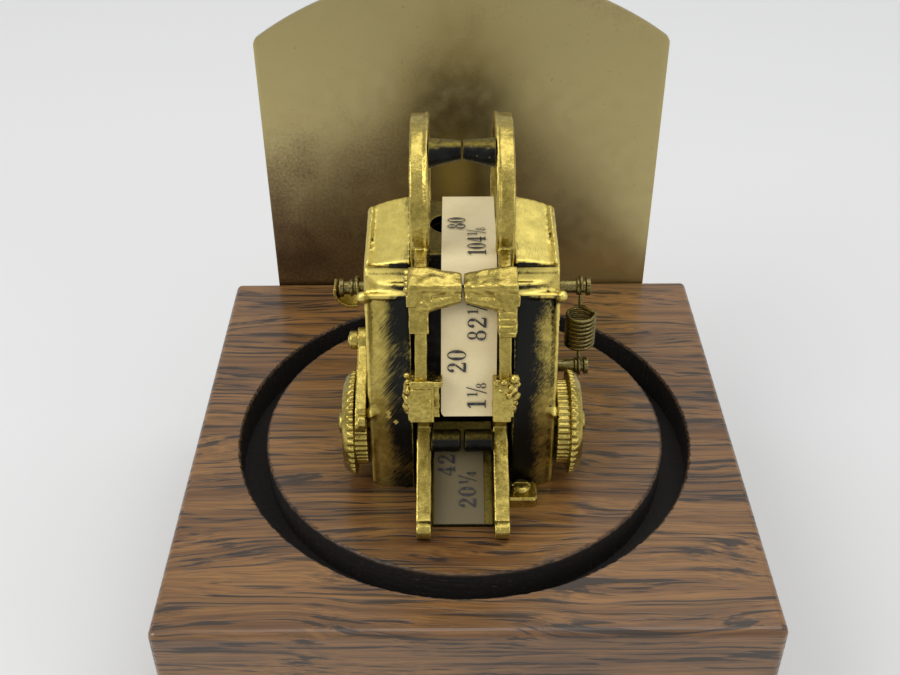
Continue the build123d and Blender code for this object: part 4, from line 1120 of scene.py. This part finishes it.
def wrap(bm, path, offset_x, lift, drift=0.0):
    """Bends flat work onto the tape: x across from the tape's middle, y along it from its front end."""
    lengths = [0.0]
    for start, end in zip(path, path[1:]):
        lengths.append(lengths[-1] + (end - start).length)
    total = lengths[-1]
    for vertex in bm.verts:
        spot = min(max(total - vertex.co.y, 0.0), total - 1e-6)
        index = max(i for i, reached in enumerate(lengths[:-1]) if reached <= spot)
        share = (spot - lengths[index]) / (lengths[index + 1] - lengths[index])
        here = path[index].lerp(path[index + 1], share)
        along = (path[index + 1] - path[index]).normalized()
        normal = Vector((along.y, -along.x))
        here = here + normal * (lift + vertex.co.z)
        slide = drift * (1.0 - spot / total)
        vertex.co = Vector((TICKER_X / MM + offset_x + slide + vertex.co.x, here.x, FLOOR / MM + here.y)) * MM


PAPER_HALF = 0.09
UPPER_SHIFT, UPPER_DRIFT = 0.75, 0.35
LOWER_SHIFT = -0.55
# across from the tape's left edge, along from its front end, characters, numerator and denominator
UPPER_WORDS = (
    (3.45, 30.3, "80", ""), (6.3, 23.2, "104", "1/8"), (3.4, 17.6, "4", ""), (6.3, 11.0, "82", "1/2"),
    (3.5, 6.4, "20", ""), (6.3, 1.1, "1", "1/8"),
)
LOWER_WORDS = ((3.2, 7.6, "42", ""), (6.4, 2.5, "20", "1/4"))


class TICKER_OT_tape(bpy.types.Operator):
    """Lays the paper tape over the table and down the chute, and prints its numbers"""
    bl_idname = "ticker.tape"
    bl_label = "Paper Tape"

    def execute(self, context):
        size = context.scene.tape_look.digit_height / MM
        width = (TAPE_HIGH.x - TAPE_LOW.x) / MM
        rows = (
            ("upper", UPPER_PATH, UPPER_RADII, UPPER_SHIFT, UPPER_DRIFT, UPPER_WORDS, width),
            ("lower", LOWER_PATH, LOWER_RADII, LOWER_SHIFT, 0.0, LOWER_WORDS, width * 0.98),
        )
        for name, points, radii, shift, drift, words, wide in rows:
            path = rounded_path(points, radii, 0.25)
            total = sum((b - a).length for a, b in zip(path, path[1:]))
            bm = bmesh.new()
            bmesh.ops.create_grid(bm, x_segments=8, y_segments=160, size=0.5, matrix=Matrix.Translation(
                (0, total / 2, 0)) @ Matrix.Diagonal((wide, total, 1, 1)))
            if name == "upper":
                for vertex in bm.verts:
                    curl = max(0.0, 1.0 - vertex.co.y / 2.2)
                    vertex.co.z += 0.10 * curl * curl
                    if abs(vertex.co.x) > wide / 2 - 0.01:
                        vertex.co.x *= 1.0 - 0.10 * max(0.0, 1.0 - vertex.co.y / 0.7) ** 2
            wrap(bm, path, shift, 0.0, drift)
            bmesh.ops.recalc_face_normals(bm, faces=bm.faces)
            bmesh.ops.solidify(bm, geom=bm.faces[:], thickness=2 * PAPER_HALF * MM)
            bmesh.ops.recalc_face_normals(bm, faces=bm.faces)
            paper = to_object(bm, name + "_paper_tape")
            paper.data.shade_smooth()
            paper.data.set_sharp_from_angle(angle=math.radians(35))
            finish_piece(paper, "aged_paper", "paper", "bookend", name + "_tape")
            ink = bmesh.new()
            for across, along, text, fraction in words:
                word = bmesh.new()
                draw_text(word, text, size)
                if fraction:
                    small = bmesh.new()
                    draw_fraction(small, fraction[0], fraction[2], size)
                    advance = sum(GLYPHS[c][1] for c in text) * size + 0.1
                    bmesh.ops.translate(small, verts=small.verts, vec=(advance, 0, 0))
                    join_into(word, small)
                bmesh.ops.transform(word, verts=word.verts, matrix=Matrix.Translation(
                    (across - wide / 2, along, 0)) @ Matrix.Rotation(math.pi / 2, 4, "Z"))
                join_into(ink, word)
            wrap(ink, path, shift, 2 * PAPER_HALF + 0.03, drift)
            print_on = to_object(ink, name + "_tape_print")
            finish_piece(print_on, "print_ink", "paper", "bookend")
        return {"FINISHED"}


# ---------------------------------------------------------------- stage
CAMERA_PLACE = (-2.41, -148.44, 166.01)
CAMERA_PITCH = math.radians(36.35)
CAMERA_YAW = math.radians(-0.04)
CAMERA_ROLL = math.radians(0.3)
CAMERA_LENS = 45.904


class TICKER_OT_stage(bpy.types.Operator):
    """Sets the table, the soft lights and the camera"""
    bl_idname = "ticker.stage"
    bl_label = "Stage"

    def execute(self, context):
        look = context.scene.stage_look
        bm = bmesh.new()
        bmesh.ops.create_grid(bm, x_segments=1, y_segments=1, size=3.0)
        table = to_object(bm, "table")
        material, wire, shader, coords, vector = new_material("table_top")
        clouds = wire.noise(vector, 0.01, 3.0, 0.5)
        wire.put(wire.mix(wire.times(clouds, 0.3), tuple(look.floor), (0.66, 0.67, 0.68, 1)),
                 shader.inputs["Base Color"])
        wire.put(wire.step(clouds, 0.3, 0.7, 0.5, 0.6, smooth=False), shader.inputs["Roughness"])
        table.data.materials.append(material)

        world = bpy.data.worlds.new("room")
        world.use_nodes = True
        background = world.node_tree.nodes["Background"]
        background.inputs[0].default_value = tuple(look.sky)
        background.inputs[1].default_value = look.sky_strength
        context.scene.world = world

        for name, place_mm, size, power, colour in (
            ("window_light", (-520, -260, 620), 0.55, 2.6, (1.0, 0.98, 0.95)),
            ("ceiling_light", (180, 120, 900), 0.9, 3.0, (1.0, 1.0, 1.0)),
            ("side_light", (560, -420, 380), 0.35, 0.7, (1.0, 0.97, 0.92)),
        ):
            light = bpy.data.lights.new(name, "AREA")
            light.shape = "DISK"
            light.size = size
            light.energy = power
            light.color = colour
            obj = bpy.data.objects.new(name, light)
            obj.location = Vector(place_mm) * MM
            aim = Vector((0, 0, FLOOR + 0.02)) - obj.location
            obj.rotation_euler = aim.to_track_quat("-Z", "Y").to_euler()
            context.scene.collection.objects.link(obj)

        data = bpy.data.cameras.new("camera")
        data.sensor_width = 36.0
        data.lens = CAMERA_LENS
        data.clip_start, data.clip_end = 0.01, 20.0
        camera = bpy.data.objects.new("camera", data)
        turn = (Matrix.Rotation(CAMERA_YAW, 4, "Z") @ Matrix.Rotation(-CAMERA_PITCH, 4, "X")
                @ Matrix.Rotation(CAMERA_ROLL, 4, "Y") @ Matrix.Rotation(math.pi / 2, 4, "X"))
        camera.matrix_world = Matrix.Translation(Vector(CAMERA_PLACE) * MM) @ turn
        context.scene.collection.objects.link(camera)
        context.scene.camera = camera
        context.scene.view_settings.view_transform = "Standard"
        return {"FINISHED"}


class TICKER_OT_finishes(bpy.types.Operator):
    """Mixes the shared node groups and the finishes, and lays them on the frame's own pieces"""
    bl_idname = "ticker.finishes"
    bl_label = "Finishes"

    def execute(self, context):
        scene = context.scene
        for plain in list(bpy.data.materials):
            bpy.data.materials.remove(plain)
        for make in (group_cast_skin, group_brush_strokes, group_rubbed_edges, group_clouds):
            make()
        made = {
            "oak": oak(scene.oak_look), "felt": felt(), "sheet_brass": sheet_brass(scene.brass_look),
            "screw_brass": screw_brass(scene.brass_look), "brushed_brass": brushed_brass(scene.brass_look),
            "cast_brass": cast_brass(scene.brass_look), "blackened_brass": blackened_brass(scene.brass_look),
            "spring_wire": wire_brass(scene.brass_look), "paper": aged_paper(scene.tape_look),
        }
        print_ink(scene.tape_look)
        for row in frame["record"]["subparts"]:
            mesh = NODES[row["node"]].data
            mesh.materials.clear()
            mesh.materials.append(made[row["material_slot"]])
        return {"FINISHED"}


class TICKER_PT_panel(bpy.types.Panel):
    """Sets the finishes and builds the pieces of the ticker bookend"""
    bl_idname = "TICKER_PT_panel"
    bl_label = "Ticker Bookend"
    bl_space_type = "VIEW_3D"
    bl_region_type = "UI"
    bl_category = "Ticker"

    def draw(self, context):
        for name, look in LOOKS:
            box = self.layout.box()
            for setting in look.__annotations__:
                box.prop(getattr(context.scene, name), setting)
        column = self.layout.column(align=True)
        for step in STEPS:
            column.operator(step.bl_idname)


STEPS = (
    TICKER_OT_finishes, TICKER_OT_stage, TICKER_OT_oak_block, TICKER_OT_back_plate,
    TICKER_OT_side_plaque, TICKER_OT_housings, TICKER_OT_side_frames, TICKER_OT_crossbars,
    TICKER_OT_brackets, TICKER_OT_small_parts, TICKER_OT_tape,
)
LOOKS = (("oak_look", OakLook), ("brass_look", BrassLook), ("sheet_look", SheetLook), ("tape_look", TapeLook),
         ("stage_look", StageLook))
CLASSES = tuple(look for name, look in LOOKS) + STEPS + (TICKER_PT_panel,)


def register():
    for cls in CLASSES:
        bpy.utils.register_class(cls)
    for name, cls in LOOKS:
        setattr(bpy.types.Scene, name, bpy.props.PointerProperty(type=cls))


def unregister():
    for name, cls in LOOKS:
        delattr(bpy.types.Scene, name)
    for cls in reversed(CLASSES):
        bpy.utils.unregister_class(cls)


def main():
    register()
    bpy.ops.ticker.finishes()
    bpy.ops.ticker.stage()
    bpy.ops.ticker.oak_block()
    bpy.ops.ticker.back_plate()
    bpy.ops.ticker.side_plaque()
    bpy.ops.ticker.housings()
    bpy.ops.ticker.side_frames()
    bpy.ops.ticker.crossbars()
    bpy.ops.ticker.brackets()
    bpy.ops.ticker.small_parts()
    bpy.ops.ticker.tape()


if __name__ == "__main__":
    main()
